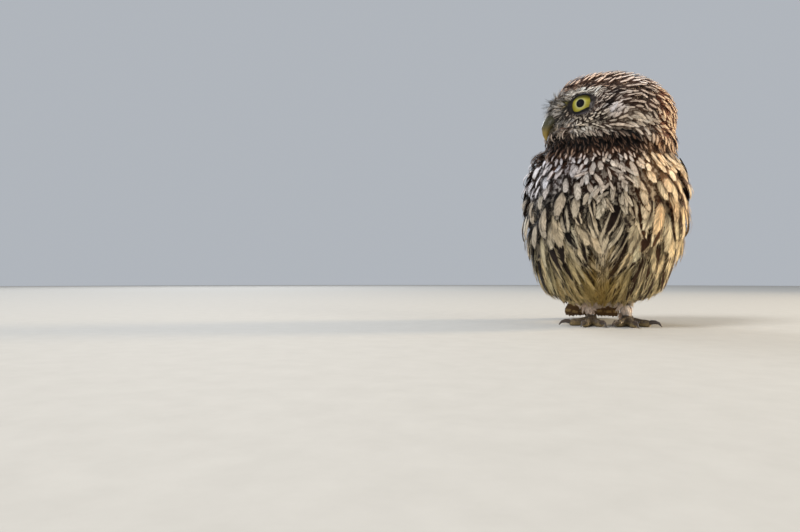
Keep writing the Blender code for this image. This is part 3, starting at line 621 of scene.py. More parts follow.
def lay_head(lay, on_head, head, x):
    """Dashes of buff on brown, finer forward and towards the eyes."""
    hx, hy, hz = head.T
    across = np.abs(hx)
    from_eye, _, gap, turn = around_eyes(head)
    lay(on_head, length=8.5, width=4.4, spacing=2.5, stretch=1.6, depth=2.0, stiff=0.25, fluff=0.1, lobe=0.32)
    lay(on_head, pale=(200, 178, 158), dark=(64, 46, 37), end=1.1, start=0.42, rise=0, stripes=0, streak=0)
    crown = on_head * smooth(10, 16, hz)
    lay(crown, length=7.5, width=3.6, spacing=2.1, stretch=1.7, lobe=0.34, pale=(245, 214, 188), dark=(76, 52, 40))
    lay(crown * smooth(6, 20, x), lobe=0.38, pale=(250, 230, 214), dark=(96, 72, 60))
    ears = on_head * smooth(-8, -4, hz) * smooth(9, 5, hz) * smooth(24, 27, across) * smooth(-4, -10, hy)
    lay(ears, length=8, width=2.6, spacing=1.7, stretch=1.8, lobe=0.40, pale=(190, 174, 160), dark=(88, 70, 60))
    side = on_head * bump(0, 12, hy) * smooth(20, 28, across) * smooth(-1, -7, hz)
    lay(side, length=8, width=3.6, spacing=1.9, stretch=1.4, lobe=0.6, start=0.25, end=1.25, fluff=1, rise=0.6)
    lay(side, pale=(216, 200, 180), dark=(104, 86, 72))
    nape = on_head * smooth(10, 18, hy)
    lay(nape, length=9, width=4.6, spacing=2.5, stretch=1.4, lobe=0.40, start=0.5)
    lay(nape, pale=(226, 194, 158), dark=(112, 62, 38))
    face = on_head * smooth(25, 17, from_eye) * smooth(10, 7, hz)
    lay(face, length=5.5, width=2.0, spacing=1.35, stretch=1.7, depth=1.4, lobe=0.36, start=0.45, end=1.15, rise=0)
    lay(face, pale=(196, 180, 164), dark=(64, 48, 40), fluff=0.1)
    under_eye = face * smooth(-3, -7, hz) * smooth(7, 12, across)
    lay(under_eye, lobe=0.44, start=0.5, end=1.15, pale=(216, 200, 178), dark=(44, 32, 26))
    lore = on_head * smooth(11, 7, across) * smooth(8, 4, hz) * smooth(-29, -33, hy)
    lay(lore, length=4.6, width=1.1, spacing=1.0, stretch=1.5, lobe=0.44, start=0.3, stiff=0.8)
    lay(lore, pale=(180, 166, 150), dark=(50, 40, 33))
    # A greenish spot beside the bill, and the pale patch behind the eye with a crease in front that is painted dark as
    # painted shade.
    from_spot, from_patch = (
        np.minimum(*[np.linalg.norm(head - (side * out, back, up), axis=1) for side in (1, -1)])
        for out, back, up in ((7.5, -34.5, 3.0), (33.1, -14.6, -3.5))
    )
    lay(on_head * bump(0, 3, from_spot), pale=(150, 142, 74), dark=(64, 58, 24))
    patch = on_head * bump(0, 4.0, from_patch)
    lay(patch, lobe=1.3, start=-0.2, end=1.6, pale=(232, 222, 220), length=6, width=2.4, rise=0.5)
    # Painted shade: the feathers in the crease are sunk and painted dark.
    crease = smooth(2.0, 0.8, np.abs(hy + 14.6 - 0.52 * (hz - 4))) * smooth(-5, -2, hz) * smooth(13, 10, hz)
    lay(on_head * crease * smooth(24, 28, across), lobe=0.1, dark=(28, 20, 17), pale=(60, 48, 42), rise=-0.6)
    # The pale brow under a dark line.
    ridge = 8.8 - 1.3 * ((across - 14.5) / 9) ** 2
    above = smooth(2.0, 1.2, np.abs(hz - ridge - 4.3)) * smooth(3, 5, across) * smooth(30, 26, across)
    lay(on_head * above * smooth(-10, -15, hy), lobe=0.18, pale=(170, 140, 118), dark=(44, 30, 23))
    brow = smooth(2.7, 1.8, np.abs(hz - ridge)) * smooth(3, 5, across) * smooth(27, 23, across)
    brow = on_head * brow * smooth(-16, -20, hy)
    lay(brow, length=5, width=1.5, spacing=0.95, stretch=1.8, depth=1.6, rise=0.8, lobe=0.75, start=0, end=1.4)
    lay(brow, pale=(236, 228, 214), dark=(126, 108, 96), stiff=0.2, fluff=0)
    # The short rim round the lids, dark at both corners of the eye.
    rim = on_head * smooth(2.2, 1.4, gap)
    lay(rim, length=2.4, width=0.9, spacing=0.85, stretch=1.2, depth=0.8, rise=0, lobe=0.6)
    lay(rim, pale=(134, 128, 126), dark=(54, 47, 44))
    inner = smooth(1.0, 0.6, np.abs(off_turn(turn, 185)))
    lay(on_head * smooth(4.2, 2.4, gap) * inner, pale=(40, 33, 30), dark=(18, 14, 13), length=2.6)
    outer = smooth(0.7, 0.4, np.abs(off_turn(turn, 28)))
    lay(on_head * smooth(3.6, 2.2, gap) * outer, pale=(62, 52, 47), dark=(24, 19, 17))
    chin = on_head * smooth(-9, -12, hz) * smooth(12, 7, across) * smooth(-25, -30, hy)
    lay(chin, length=8.5, width=1.7, spacing=1.25, stretch=1.5, lobe=0.8, start=0.0, stiff=0.9)
    lay(chin, pale=(240, 218, 194), dark=(104, 80, 66), depth=2.2, rise=6.2, fluff=0.8)


def zones_at(points, normals):
    head = in_head(points)
    x, y, z = in_body(points).T
    on_head = smooth(-22, -17, head[:, 2])
    zones = Zones(
        len(points), length=14, width=10.6, spacing=6.2, stretch=1.25, depth=3.4, rise=0, stiff=0.3, stray=0.14,
        fluff=0.5, lobe=0.60, start=0.50, end=1.02, streak=0, stripes=0.2, pale=(203, 192, 184), dark=(60, 37, 25),
    )
    lay = zones.lay
    back = lay_body(lay, x, y, z, normals)
    lay_head(lay, on_head, head, x)
    # The dark throat band, which is painted shade under the chin, and the pale tufts that hang over it.
    throat = bump(109.5, 4.6, z) * smooth(26, 16, x) * smooth(-38, -30, x) * smooth(0.0, 0.3, -normals[:, 1])
    lay(throat * 1.5, length=8.5, width=3.0, spacing=2.0, stretch=1.4, lobe=0.24, start=0.4, rise=-0.6, fluff=0.3)
    # Painted shade under the chin: dark colours across the throat.
    lay(throat * 1.7, pale=(82, 60, 46), dark=(12, 8, 6))
    lay(throat * 2 * smooth(-12, -24, x), rise=3.6)
    fringe = bump(-16.2, 1.8, head[:, 2]) * smooth(12, 17, np.abs(head[:, 0])) * smooth(-6, -12, head[:, 1]) * 1.3
    lay(fringe, length=6.5, width=1.9, spacing=1.4, stretch=1.5, lobe=0.9, start=0.0, end=1.4, fluff=1)
    lay(fringe, pale=(182, 172, 158), dark=(66, 52, 42), rise=0.8)
    # The flanks puff up on both sides. Then the wings and the legs.
    lay(smooth(-24, -40, x) * smooth(50, 86, z) * smooth(111, 100, z) * smooth(16, 4, y), rise=6.8, spacing=4.3)
    lay(smooth(24, 40, x) * smooth(48, 76, z) * smooth(104, 90, z) * smooth(16, 4, y), rise=4.8, spacing=4.6)
    wing_gap, _, wing_share = nearest_wing(points)
    on_wing = smooth(5.5, 3.5, wing_gap) * (1 - on_head) * (1 - back) * smooth(0.2, 0.38, wing_share[:, 1])
    lay(on_wing, length=10, width=7.4, spacing=3.8, stretch=1.1, depth=1.5, rise=0, lobe=0.32, start=0.58, end=0.95)
    lay(on_wing, pale=(204, 192, 174), dark=(76, 55, 44), fluff=0, stripes=0)
    leg = smooth(15.5, 13.5, z)
    lay(leg, length=3.6, width=1.3, spacing=0.95, stretch=1.2, depth=0.5, stiff=0.1, fluff=0, lobe=1.6, start=-0.7)
    lay(leg, pale=(246, 224, 204), dark=(216, 186, 164), end=1.8, rise=0, stripes=0, streak=0)
    return zones


# Skin


def make_skin(nodes, material):
    """One closed skin for head, neck, torso, legs and the arms of the wings, lying inside the coat by its depth."""
    bm = bmesh.new()
    for name in SKIN_NODES:
        add_node_copy(bm, nodes[name], JOIN_GROWTH)
    for side in (1, -1):
        bmesh.ops.create_uvsphere(
            bm, u_segments=24, v_segments=16, radius=EYE_RADIUS + 0.4 * MM, matrix=eye_frame(side)
        )
        wing_bed(bm, side)
    bmesh.ops.recalc_face_normals(bm, faces=bm.faces)
    even = remeshed(bm, "skin_joined", SKIN_VOXEL, 3)
    even.normal_update()
    places = np.array([vert.co for vert in even.verts])
    normals = np.array([vert.normal for vert in even.verts])
    depth = zones_at(places, normals).depth * MM
    for vert, place in zip(even.verts, places - normals * depth[:, None]):
        vert.co = place
    smooth_out(even, 1)
    skin = object_from_bmesh("skin", even, material)
    unwrap(skin)
    colour_skin(skin.data)
    return skin


def unwrap(piece):
    bpy.ops.object.select_all(action="DESELECT")
    bpy.context.view_layer.objects.active = piece
    piece.select_set(True)
    piece.data.uv_layers.new(name="OFBake")
    bpy.ops.object.mode_set(mode="EDIT")
    bpy.ops.mesh.select_all(action="SELECT")
    bpy.ops.uv.smart_project(angle_limit=math.radians(66), island_margin=0.002)
    bpy.ops.object.mode_set(mode="OBJECT")
    piece.select_set(False)


def read_out(items, field, width, kind=float):
    """A property of all these items of a mesh, with a row for each."""
    values = np.empty((len(items), width), kind)
    items.foreach_get(field, values.reshape(-1))
    return values


def add_attribute(mesh, name, values):
    """Numbers or vectors at a mesh's vertices, for its material."""
    kind, field = ("FLOAT", "value") if values.ndim == 1 else ("FLOAT_VECTOR", "vector")
    attribute = mesh.attributes.new(name, kind, "POINT")
    attribute.data.foreach_set(field, values.astype(np.float32).ravel())


def colour_skin(mesh):
    """The skin's colours, from the same zones as the coat's but darker: partly the down's colour and partly painted
    shade under the coat.
    """
    zones = zones_at(read_out(mesh.vertices, "co", 3), read_out(mesh.vertices, "normal", 3))
    # Darker than the feathers: painted shade under the coat as well as the down's colour.
    shares = np.clip(0.5 - zones.lobe[:, None] * 0.25, 0.15, 0.5)
    add_attribute(mesh, "pale", zones.pale * (1 - shares) + zones.dark * shares)
    add_attribute(mesh, "dark", zones.dark * 0.8)
    add_attribute(mesh, "stripes", zones.stripes)


class Ground:
    """The skin as the feathers use it: places to root in, the nearest point to follow, and its unwrap."""

    def __init__(self, skin):
        mesh = skin.data
        mesh.calc_loop_triangles()
        self.points = read_out(mesh.vertices, "co", 3)
        self.normals = read_out(mesh.vertices, "normal", 3)
        self.corners = read_out(mesh.loop_triangles, "vertices", 3, np.int32)
        loops = read_out(mesh.loop_triangles, "loops", 3, np.int32)
        self.unwrap = read_out(mesh.uv_layers["OFBake"].uv, "vector", 2)[loops]
        self.tree = BVHTree.FromPolygons(self.points.tolist(), self.corners.tolist())

    def scatter(self, count, chance):
        """Random places on the skin, even by area, each with its normal and its place on the unwrap."""
        a, b, c = (self.points[self.corners[:, k]] for k in range(3))
        area = np.linalg.norm(np.cross(b - a, c - a), axis=1)
        picked = chance.choice(len(area), count, p=area / area.sum())
        first, second = chance.random((2, count))
        over = first + second > 1
        first, second = np.where(over, 1 - first, first), np.where(over, 1 - second, second)
        weights = np.stack((1 - first - second, first, second), axis=1)[:, :, None]
        places = (self.points[self.corners[picked]] * weights).sum(axis=1)
        normals = unit((self.normals[self.corners[picked]] * weights).sum(axis=1))
        return places, normals, (self.unwrap[picked] * weights).sum(axis=1)

    def nearest(self, places):
        found = [self.tree.find_nearest(place) for place in places.tolist()]
        spots = np.array([spot for spot, _, _, _ in found])
        faces = np.array([face for _, _, face, _ in found])
        corners = self.points[self.corners[faces]]
        gaps = 1 / np.maximum(np.linalg.norm(corners - spots[:, None], axis=2), 1e-6)
        normals = (self.normals[self.corners[faces]] * gaps[:, :, None]).sum(axis=1)
        return spots, unit(normals)


AROUND = tuple(itertools.product((-1, 0, 1), repeat=3))


def is_crowded(cells, home, place, course, limit, share):
    """Whether a kept place in the cells around is nearer than the limit, which is the square of a distance."""
    (i, j, k), (x, y, z), (u, v, w) = home, place, course
    for a, b, c in AROUND:
        for p, q, r in cells.get((i + a, j + b, k + c), ()):
            p, q, r = p - x, q - y, r - z
            along = p * u + q * v + r * w
            if p * p + q * q + r * r - share * along * along < limit:
                return True
    return False


def spaced(places, courses, spacing, stretch):
    """Which of these places to keep so that no two are nearer than the spacing there, which is stretched by so many
    times along the lie of the coat."""
    kept = []
    cell = float(spacing.max() * stretch.max())
    cells = collections.defaultdict(list)
    columns = (np.floor(places / cell).astype(int), places, courses, spacing**2, 1 - 1 / stretch**2)
    for number, (home, place, course, limit, share) in enumerate(zip(*(column.tolist() for column in columns))):
        if not is_crowded(cells, home, place, course, limit, share):
            cells[tuple(home)].append(place)
            kept.append(number)
    return np.array(kept)


def picked(which, *arrays):
    return [array[which] for array in arrays]


def roots_on(ground, tries, wanted, share, chance):
    """Places to root feathers in where they are wanted, with normals and places on the unwrap. They are spaced by a
    share of what each zone says. Fine and coarse zones are gone through apart, which is quicker."""
    roots = ground.scatter(tries, chance)
    places, normals, spots = picked(wanted(roots[0]), *roots)
    zones = zones_at(places, normals)
    courses = lie_of(places, normals)
    reach = zones.spacing * zones.stretch
    kept = []
    for low, high in ((0, 2.2), (2.2, 4.5), (4.5, 99)):
        mine = np.flatnonzero((reach >= low) & (reach < high))
        if len(mine):
            spacing = zones.spacing[mine] * share * MM
            kept.append(mine[spaced(places[mine], courses[mine], spacing, zones.stretch[mine])])
    return picked(np.concatenate(kept), places, normals, spots)


# Feather shapes. Each is drawn flat once: s runs across from -1 to 1, v along from 0 at the root, and h is the height.

Shape = collections.namedtuple("Shape", "s v h faces")


def outline(v, tip_round):
    """The half width of a feather's vane at v, from a narrow root to a rounded tip."""
    rise = 0.25 + 0.75 * float(smooth(-0.1, 0.5, v))
    fall = math.sqrt(max(0.0, 1 - max(0.0, (v - tip_round) / (1.0 - tip_round)) ** 2))
    return rise * fall


def feather_shape(chance, rows=6, columns=1, teeth=12, core=0.8, fray=0.3, tip_round=0.55, barb=0.07):
    """A vane with a fringe of barb ends along its edges and tip. A barb reaches forward by that share of the vane."""
    bm = bmesh.new()
    bmesh.ops.create_grid(bm, x_segments=2 * columns, y_segments=rows, size=1)
    for vert in bm.verts:
        v = 0.96 * (1 - (0.5 - vert.co.y / 2) ** 1.5)
        vert.co = (vert.co.x * core * outline(v, tip_round), v, 0)
    for side in (1, -1):
        for k in range(teeth):
            v = 0.97 * (1 - (1 - (k + 0.7) / (teeth + 0.7)) ** 1.25)
            room = 0.6 / teeth * (1.2 - 0.6 * v)
            ends = [max(v - room, 0), min(v + room, 0.96)]
            base = [core * outline(end, tip_round) * 0.93 for end in ends]
            reach = v + barb * (0.7 + 0.7 * chance.random()) * (1 + fray)
            out = outline(min(reach, 0.975), tip_round) * (1 + fray * 0.6 * (chance.random() - 0.35))
            bend = 0.10 * fray * (chance.random() - 0.3)
            tooth = [(side * base[0], ends[0], 0), (side * base[1], ends[1], 0), (side * out, reach, bend)]
            bm.faces.new([bm.verts.new(place) for place in (tooth if side > 0 else tooth[::-1])])
    half = core * outline(0.96, tip_round)
    for k in (-1, 0, 1):
        s = k * half * 0.6
        reach = 0.99 + (0.03 + 0.6 * barb) * fray * chance.random() - 0.02 * abs(k)
        tooth = [(s - half * 0.45, 0.955, 0), (s + half * 0.45, 0.955, 0), (s * 1.1, reach + 0.02, 0.01)]
        bm.faces.new([bm.verts.new(place) for place in tooth])
    return drawn(bm)


def tuft_shape(chance, blades=11, spread=0.9, width=0.16, reach=1.0):
    """Loose barbs that part from one root."""
    bm = bmesh.new()
    for k in range(blades):
        lean = spread * (2 * (k + chance.random()) / blades - 1)
        curve = 0.7 * (chance.random() - 0.5)
        long = reach * (0.62 + 0.42 * chance.random())
        lift = 0.25 * (chance.random() - 0.3)
        rows = []
        for v, half in ((0.0, width), (0.38, width * 0.9), (0.74, width * 0.55)):
            s = lean * v**0.8 + curve * v * v
            left = bm.verts.new((s - half, v * long, lift * v * v))
            right = bm.verts.new((s + half, v * long, lift * v * v))
            rows.append((left, right))
        tip = bm.verts.new((lean * 1.05 + curve * 1.2, long, lift))
        for (a, b), (c, d) in zip(rows, rows[1:]):
            bm.faces.new((a, b, d, c))
        bm.faces.new((rows[-1][0], rows[-1][1], tip))
    return drawn(bm)


def drawn(bm):
    bm.verts.index_update()
    places = np.array([vert.co for vert in bm.verts])
    faces = [[vert.index for vert in face.verts] for face in bm.faces]
    bm.free()
    return Shape(places[:, 0], places[:, 1], places[:, 2], faces)


# Laying feathers. The tracks that a set of feathers follow are arrays with a row for each feather: its places, normals
# and courses along its length, its sizes, its looks and its spot on the bake map.


def follow(ground, roots, normals, zones, chance, length=None):
    """Feathers rooted here, each run along the lie of the coat over the skin, as stiff as its zone says."""
    count = len(roots)
    length = (zones.length if length is None else length) * MM
    length = length * chance.normal(1, 0.07, count).clip(0.8, 1.2)
    courses = lie_of(roots, normals)
    turn = (chance.normal(0, 1, count) * zones.stray)[:, None]

    def strayed(course, normal):
        return unit(course * np.cos(turn) + np.cross(normal, course) * np.sin(turn))

    step = (length / (SPINE_ROWS - 1))[:, None]
    stiff = zones.stiff[:, None]
    places = [roots]
    ups = [normals]
    ways = [strayed(courses, normals)]
    for _ in range(SPINE_ROWS - 1):
        free = places[-1] + ways[-1] * step
        spot, normal = ground.nearest(free)
        height = ((free - spot) * normal).sum(axis=1, keepdims=True)
        place = spot + normal * np.maximum(height, 0) * stiff
        way = unit(place - places[-1])
        ways.append(unit(way * 0.7 + strayed(lie_of(place, normal), normal) * 0.3))
        places.append(place)
        ups.append(normal)
    uneven = MM * chance.normal(1, 0.09, count).clip(0.75, 1.3)
    width = zones.width * MM * chance.normal(1, 0.06, count).clip(0.8, 1.2)
    # Where the coat is puffed up, the feathers fill its depth in layers.
    layer = 1 - 0.6 * chance.random(count) ** 1.5
    lines = {key: np.stack(rows, axis=1) for key, rows in (("places", places), ("normals", ups), ("courses", ways))}
    return dict(lines, length=length, width=width, lift=zones.depth * uneven, rise=zones.rise * uneven * layer)


def joined(several):
    return {key: np.concatenate([tracks[key] for tracks in several]) for key in several[0]}


def looks_where_shown(tracks, chance):
    """The looks of feathers from the zone where most of each shows, near its tip."""
    shown = SPINE_ROWS - 2
    return looks_of(zones_at(tracks["places"][:, shown], tracks["normals"][:, shown]), chance)


def looks_of(zones, chance):
    """The colours and marking of each feather, with a chance difference from its neighbours."""
    count = len(zones.length)
    shade = chance.normal(1, 0.09, (count, 1)).clip(0.7, 1.3)
    warmth = chance.normal(0, 0.025, (count, 1)) * np.array((1, 0, -1))
    pale = (zones.pale * shade * (1 + warmth)).clip(0, 1)
    dark = (zones.dark * chance.normal(1.05, 0.25, (count, 1)).clip(0.6, 2.0) * (1 + warmth)).clip(0, 1)
    lobe = zones.lobe * chance.normal(1, 0.16, count).clip(0.5, 1.4)
    start = zones.start + chance.normal(0, 0.05, count)
    # A streak always leaves a pale edge on both sides.
    streak = np.minimum(zones.streak * chance.normal(1, 0.22, count).clip(0.3, 1.7), 0.55 * lobe)
    return {
        "pale": pale,
        "dark": dark,
        "lobe": np.stack((lobe, start, zones.end), axis=1),
        "streak": streak,
        "stripes": zones.stripes * chance.normal(1, 0.15, count).clip(0.5, 1),
        "chance": chance.random(count),
        "bars": np.zeros(count),
    }


def height_along(v, depth, rise):
    """How a feather comes up through the coat's depth along its length. Where the coat is puffed up, it first rises and
    then comes down again at its tip."""
    v = np.clip(v, 0, 1.3)
    return depth * (-0.12 + 1.12 * v**0.8) + rise * (v**0.3 - 0.7 * v**4)


def between_rows(rows, row, share):
    """Values of tracks between one row and the next."""
    return rows[:, row] * (1 - share) + rows[:, row + 1] * share


def places_along(tracks, shape, curl, roll, rise, droop):
    """Where a shape's vertices come to lie along each of these tracks."""
    last = tracks["places"].shape[1] - 1
    row = np.clip((np.clip(shape.v, 0, None) * last).astype(int), 0, last - 1)
    share = (shape.v * last - row)[None, :, None]
    near = np.clip(share, 0, 1)
    spine = between_rows(tracks["places"], row, share)
    up = unit(between_rows(tracks["normals"], row, near))
    ahead = unit(between_rows(tracks["courses"], row, near))
    across = unit(np.cross(ahead, up))
    half = tracks["width"][:, None] / 2
    sideways = shape.s[None] * half + (curl * tracks["length"])[:, None] * shape.v[None] ** 2
    height = height_along(shape.v[None], tracks["lift"][:, None], tracks["rise"][:, None]) * rise
    height = height + half * (shape.h[None] * 2 - droop * shape.s[None] ** 2) + roll[:, None] * shape.s[None]
    places = spine + across * sideways[:, :, None] + up * height[:, :, None]
    places[:, :, 2] = np.maximum(places[:, :, 2], LEAST_HEIGHT)
    return places


LOOKS = ("pale", "dark", "lobe", "streak", "stripes", "chance", "bars")


def lay_feathers(name, tracks, shapes, material, chance, rise=1.0, droop=0.22, roll=0.0, patch=PATCH):
    """One piece of coat: a copy of one of the shapes along each track, joined into one mesh."""
    count = len(tracks["length"])
    kind = chance.integers(0, len(shapes), count)
    curl = chance.normal(0, 0.05, count)
    roll = np.broadcast_to(roll, count)
    points, corners, sizes, flat_uv, bake_uv, owners = [], [], [], [], [], []
    offset = 0
    for number, shape in enumerate(shapes):
        mine = np.flatnonzero(kind == number)
        mine_only = {key: values[mine] for key, values in tracks.items()}
        points.append(places_along(mine_only, shape, curl[mine], roll[mine], rise, droop).reshape(-1, 3))
        loops = np.concatenate(shape.faces)
        starts = offset + np.arange(len(mine)) * len(shape.v)
        corners.append((loops[None] + starts[:, None]).ravel())
        sizes.append(np.tile([len(face) for face in shape.faces], len(mine)))
        uv = np.stack((shape.s[loops] / 2 + 0.5, shape.v[loops]), axis=1)
        flat_uv.append(np.tile(uv, (len(mine), 1)))
        spread = np.clip(uv - 0.5, -0.6, 0.6) * patch
        bake_uv.append((mine_only["spot"][:, None] + spread[None]).reshape(-1, 2))
        owners.append(np.repeat(mine, len(shape.v)))
        offset += len(mine) * len(shape.v)
    mesh = mesh_of(name, *(np.concatenate(arrays) for arrays in (points, corners, sizes)))
    for layer, values in (("OFBake", bake_uv), ("Feather", flat_uv)):
        mesh.uv_layers.new(name=layer).uv.foreach_set("vector", np.concatenate(values).astype(np.float32).ravel())
    owners = np.concatenate(owners)
    for key in LOOKS:
        add_attribute(mesh, key, tracks[key][owners])
    mesh.shade_smooth()
    return object_of(name, mesh, [material])


def mesh_of(name, points, corners, sizes):
    mesh = bpy.data.meshes.new(name)
    mesh.vertices.add(len(points))
    mesh.vertices.foreach_set("co", points.astype(np.float32).ravel())
    mesh.loops.add(len(corners))
    mesh.loops.foreach_set("vertex_index", corners.astype(np.int32))
    mesh.polygons.add(len(sizes))
    starts = np.concatenate(([0], np.cumsum(sizes)[:-1]))
    mesh.polygons.foreach_set("loop_start", starts.astype(np.int32))
    mesh.update(calc_edges=True)
    mesh.validate()
    return mesh


# Finishes


class Value:
    """What a material works out at each point. Arithmetic with it adds nodes to the tree that it is in."""

    def __init__(self, socket):
        self.socket = socket
        self.tree = socket.id_data

    def calc(self, operation, *others):
        return Value(node(self.tree, "Math", dict(enumerate((self, *others))), operation=operation).outputs[0])

    def ramp(self, low, high):
        """0 at low and 1 at high, with a soft rise."""
        inputs = {"Value": self, "From Min": low, "From Max": high}
        return Value(node(self.tree, "MapRange", inputs, interpolation_type="SMOOTHSTEP").outputs["Result"])

    def __add__(self, other):
        return self.calc("ADD", other)

    def __sub__(self, other):
        return self.calc("SUBTRACT", other)

    def __rsub__(self, other):
        return self * -1.0 + other

    def __mul__(self, other):
        return self.calc("MULTIPLY", other)

    def __truediv__(self, other):
        return self.calc("DIVIDE", other)

    def __gt__(self, other):
        return self.calc("GREATER_THAN", other)

    def __abs__(self):
        return self.calc("ABSOLUTE")


def feed(socket, value):
    """Joins a value to a socket, or sets the socket's number or colour."""
    if isinstance(value, Value):
        value.tree.links.new(value.socket, socket)
    else:
        socket.default_value = value


def node(tree, kind, inputs=None, **settings):
    """A new node with these settings, fed with these inputs by name or number."""
    made = tree.nodes.new("ShaderNode" + kind)
    for name, value in settings.items():
        setattr(made, name, value)
    for key, value in (inputs or {}).items():
        feed(made.inputs[key], value)
    return made


def new_material(name, roughness, **sockets):
    """A material with a plain Principled shader. Further words set its other sockets."""
    material = bpy.data.materials.new(name)
    material.use_nodes = True
    shader = material.node_tree.nodes["Principled BSDF"]
    shader.inputs["Roughness"].default_value = roughness
    for socket, value in sockets.items():
        shader.inputs[socket.replace("_", " ")].default_value = value
    return material, material.node_tree, shader


def add_relief(shader, height, depth, strength=1.0):
    """Raises a finish by a height, over a depth in millimetres."""
    inputs = {"Height": height, "Distance": depth * MM, "Strength": strength}
    feed(shader.inputs["Normal"], Value(node(height.tree, "Bump", inputs).outputs["Normal"]))


def paint(red, green, blue):
    return (*tone(red, green, blue), 1)


def object_place(tree):
    return Value(node(tree, "TexCoord").outputs["Object"])


def map_place(tree, layer):
    return Value(node(tree, "UVMap", uv_map=layer).outputs["UV"])


def attribute(tree, name, output="Fac"):
    return Value(node(tree, "Attribute", attribute_name=name).outputs[output])


def split(vector):
    return [Value(socket) for socket in node(vector.tree, "SeparateXYZ", {0: vector}).outputs]


def vector_of(*parts):
    return Value(node(parts[0].tree, "CombineXYZ", dict(enumerate(parts))).outputs[0])


def vector_calc(operation, first, second=(0, 0, 0), output="Vector"):
    return Value(node(first.tree, "VectorMath", {0: first, 1: second}, operation=operation).outputs[output])


def scaled(vector, by):
    """A vector or a colour times a number."""
    return Value(node(vector.tree, "VectorMath", operation="SCALE", inputs={0: vector, "Scale": by}).outputs[0])


def mixed(share, first, second):
    made = node(share.tree, "Mix", {"Factor": share}, data_type="RGBA")
    # The colour sockets come after the float and vector ones of the same names.
    colours = [socket for socket in made.inputs if socket.type == "RGBA"]
    for socket, value in zip(colours, (first, second)):
        feed(socket, value)
    return Value(next(socket for socket in made.outputs if socket.type == "RGBA"))


def noise(vector, scale, detail=2.0, roughness=0.5):
    inputs = {"Vector": vector, "Scale": scale, "Detail": detail, "Roughness": roughness}
    return Value(node(vector.tree, "TexNoise", inputs).outputs["Fac"])


VECTOR_INPUTS = ("Feather", "Lobe", "Place")


def new_group(name, inputs, outputs):
    """A node group with these inputs and outputs, the values that come into it and the sockets that they leave by."""
    group = bpy.data.node_groups.new(name, "ShaderNodeTree")
    for label in inputs:
        kind = "NodeSocketVector" if label in VECTOR_INPUTS else "NodeSocketFloat"
        group.interface.new_socket(label, in_out="INPUT", socket_type=kind)
    for label in outputs:
        group.interface.new_socket(label, in_out="OUTPUT", socket_type="NodeSocketFloat")
    into = group.nodes.new("NodeGroupInput")
    return group, [Value(into.outputs[label]) for label in inputs], group.nodes.new("NodeGroupOutput").inputs


def use(group, *values):
    """What a group works out from these values, the first of which isn't a plain number."""
    made = node(values[0].tree, "Group", node_tree=group, inputs=dict(enumerate(values)))
    return [Value(socket) for socket in made.outputs]


def barb_group():
    """The fine lines of the barbs on a vane: masks of lines and of clumps, and a height for the relief."""
    labels = ("Feather", "Chance", "Count")
    group, (feather, chance, count), leaving = new_group("feather barbs", labels, ("Lines", "Clumps", "Height"))
    across, along, _ = split(feather)
    off = abs(across * 2.0 - 1.0)
    seat = vector_of((along - off * 0.42) * count, off * 1.4, chance * 57.0)
    fine = noise(seat, 1.0, 1.0)
    coarse = noise(vector_calc("MULTIPLY", seat, (0.28, 1.0, 1.0)), 1.0)
    feed(leaving["Lines"], fine.ramp(0.34, 0.66))
    feed(leaving["Clumps"], coarse.ramp(0.3, 0.7))
    feed(leaving["Height"], coarse * 0.8 + (fine - off * 0.6))
    return group


def marking_group():
    """How dark a spot of a feather is: a pale lobe on a dark vane, and a dark streak along the shaft."""
    labels = ("Feather", "Lobe", "Streak", "Clumps", "Lines")
    group, (feather, lobe, streak, clumps, lines), leaving = new_group("feather marking", labels, ("Dark",))
    across, along, _ = split(feather)
    half_width, start, end = split(lobe)
    off = abs(across * 2.0 - 1.0)
    from_middle = (along - (start + end) * 0.5) / ((end - start) * 0.5)
    beside = off / half_width.calc("MAXIMUM", 0.02)
    ragged = lines * 0.16 + (clumps * 0.26 - 0.13)
    distance = (from_middle * from_middle + beside * beside).calc("SQRT") + ragged
    width = streak * (1.2 - along.calc("POWER", 3.0)) + ragged * streak
    shaft = (off - width).ramp(0.07, -0.07) * (streak > 0.02)
    feed(leaving["Dark"], distance.ramp(0.9, 1.12).calc("MAXIMUM", shaft))
    return group


def streak_group():
    """Dark streaks along the lines that the lower feathers run in, as in flow_round, broken here and there."""
    group, (place, chance), leaving = new_group("belly streaks", ("Place", "Chance"), ("Dark",))
    x, y, z = split(place)
    from_middle = x - (z * LEAN + (CENTRING.x - LEAN * LEAN_HEIGHT))
    angle = abs(from_middle).calc("ARCTAN2", CENTRING.y - y)
    level = (z / MM).calc("MINIMUM", LEANING_TOP)
    above = (level - BEND_START).calc("MAXIMUM", 0.0)
    turned = (level - above * above * (1 / BEND)) / LEANING
    inner = (1.0 - angle * (1 / LEANING_REACH)).calc("MAXIMUM", 0.0)
    on_left = from_middle > 0.0
    line = (angle - turned * inner) / STREAK_STEP + noise(place, 70.0) * 0.9 + chance * 0.22 + on_left * 0.37
    broken = noise(vector_of(line.calc("FLOOR") * 7.31, z / (13 * MM), on_left), 1.0)
    width = broken.ramp(0.34, 0.56) * (angle * 0.05 + 0.21)
    feed(leaving["Dark"], (abs(line.calc("FRACT") - 0.5) - width).ramp(0.02, -0.05))
    return group


def horn_group():
    """Growth lines and wear of horn, in the object's own space."""
    group, (place, scale), leaving = new_group("horn", ("Place", "Scale"), ("Lines", "Wear"))
    feed(leaving["Lines"], noise(vector_calc("MULTIPLY", place, (1.0, 1.0, 0.25)), scale, 3.0, 0.6))
    feed(leaving["Wear"], noise(place, scale * 0.35, 4.0, 0.65))
    return group


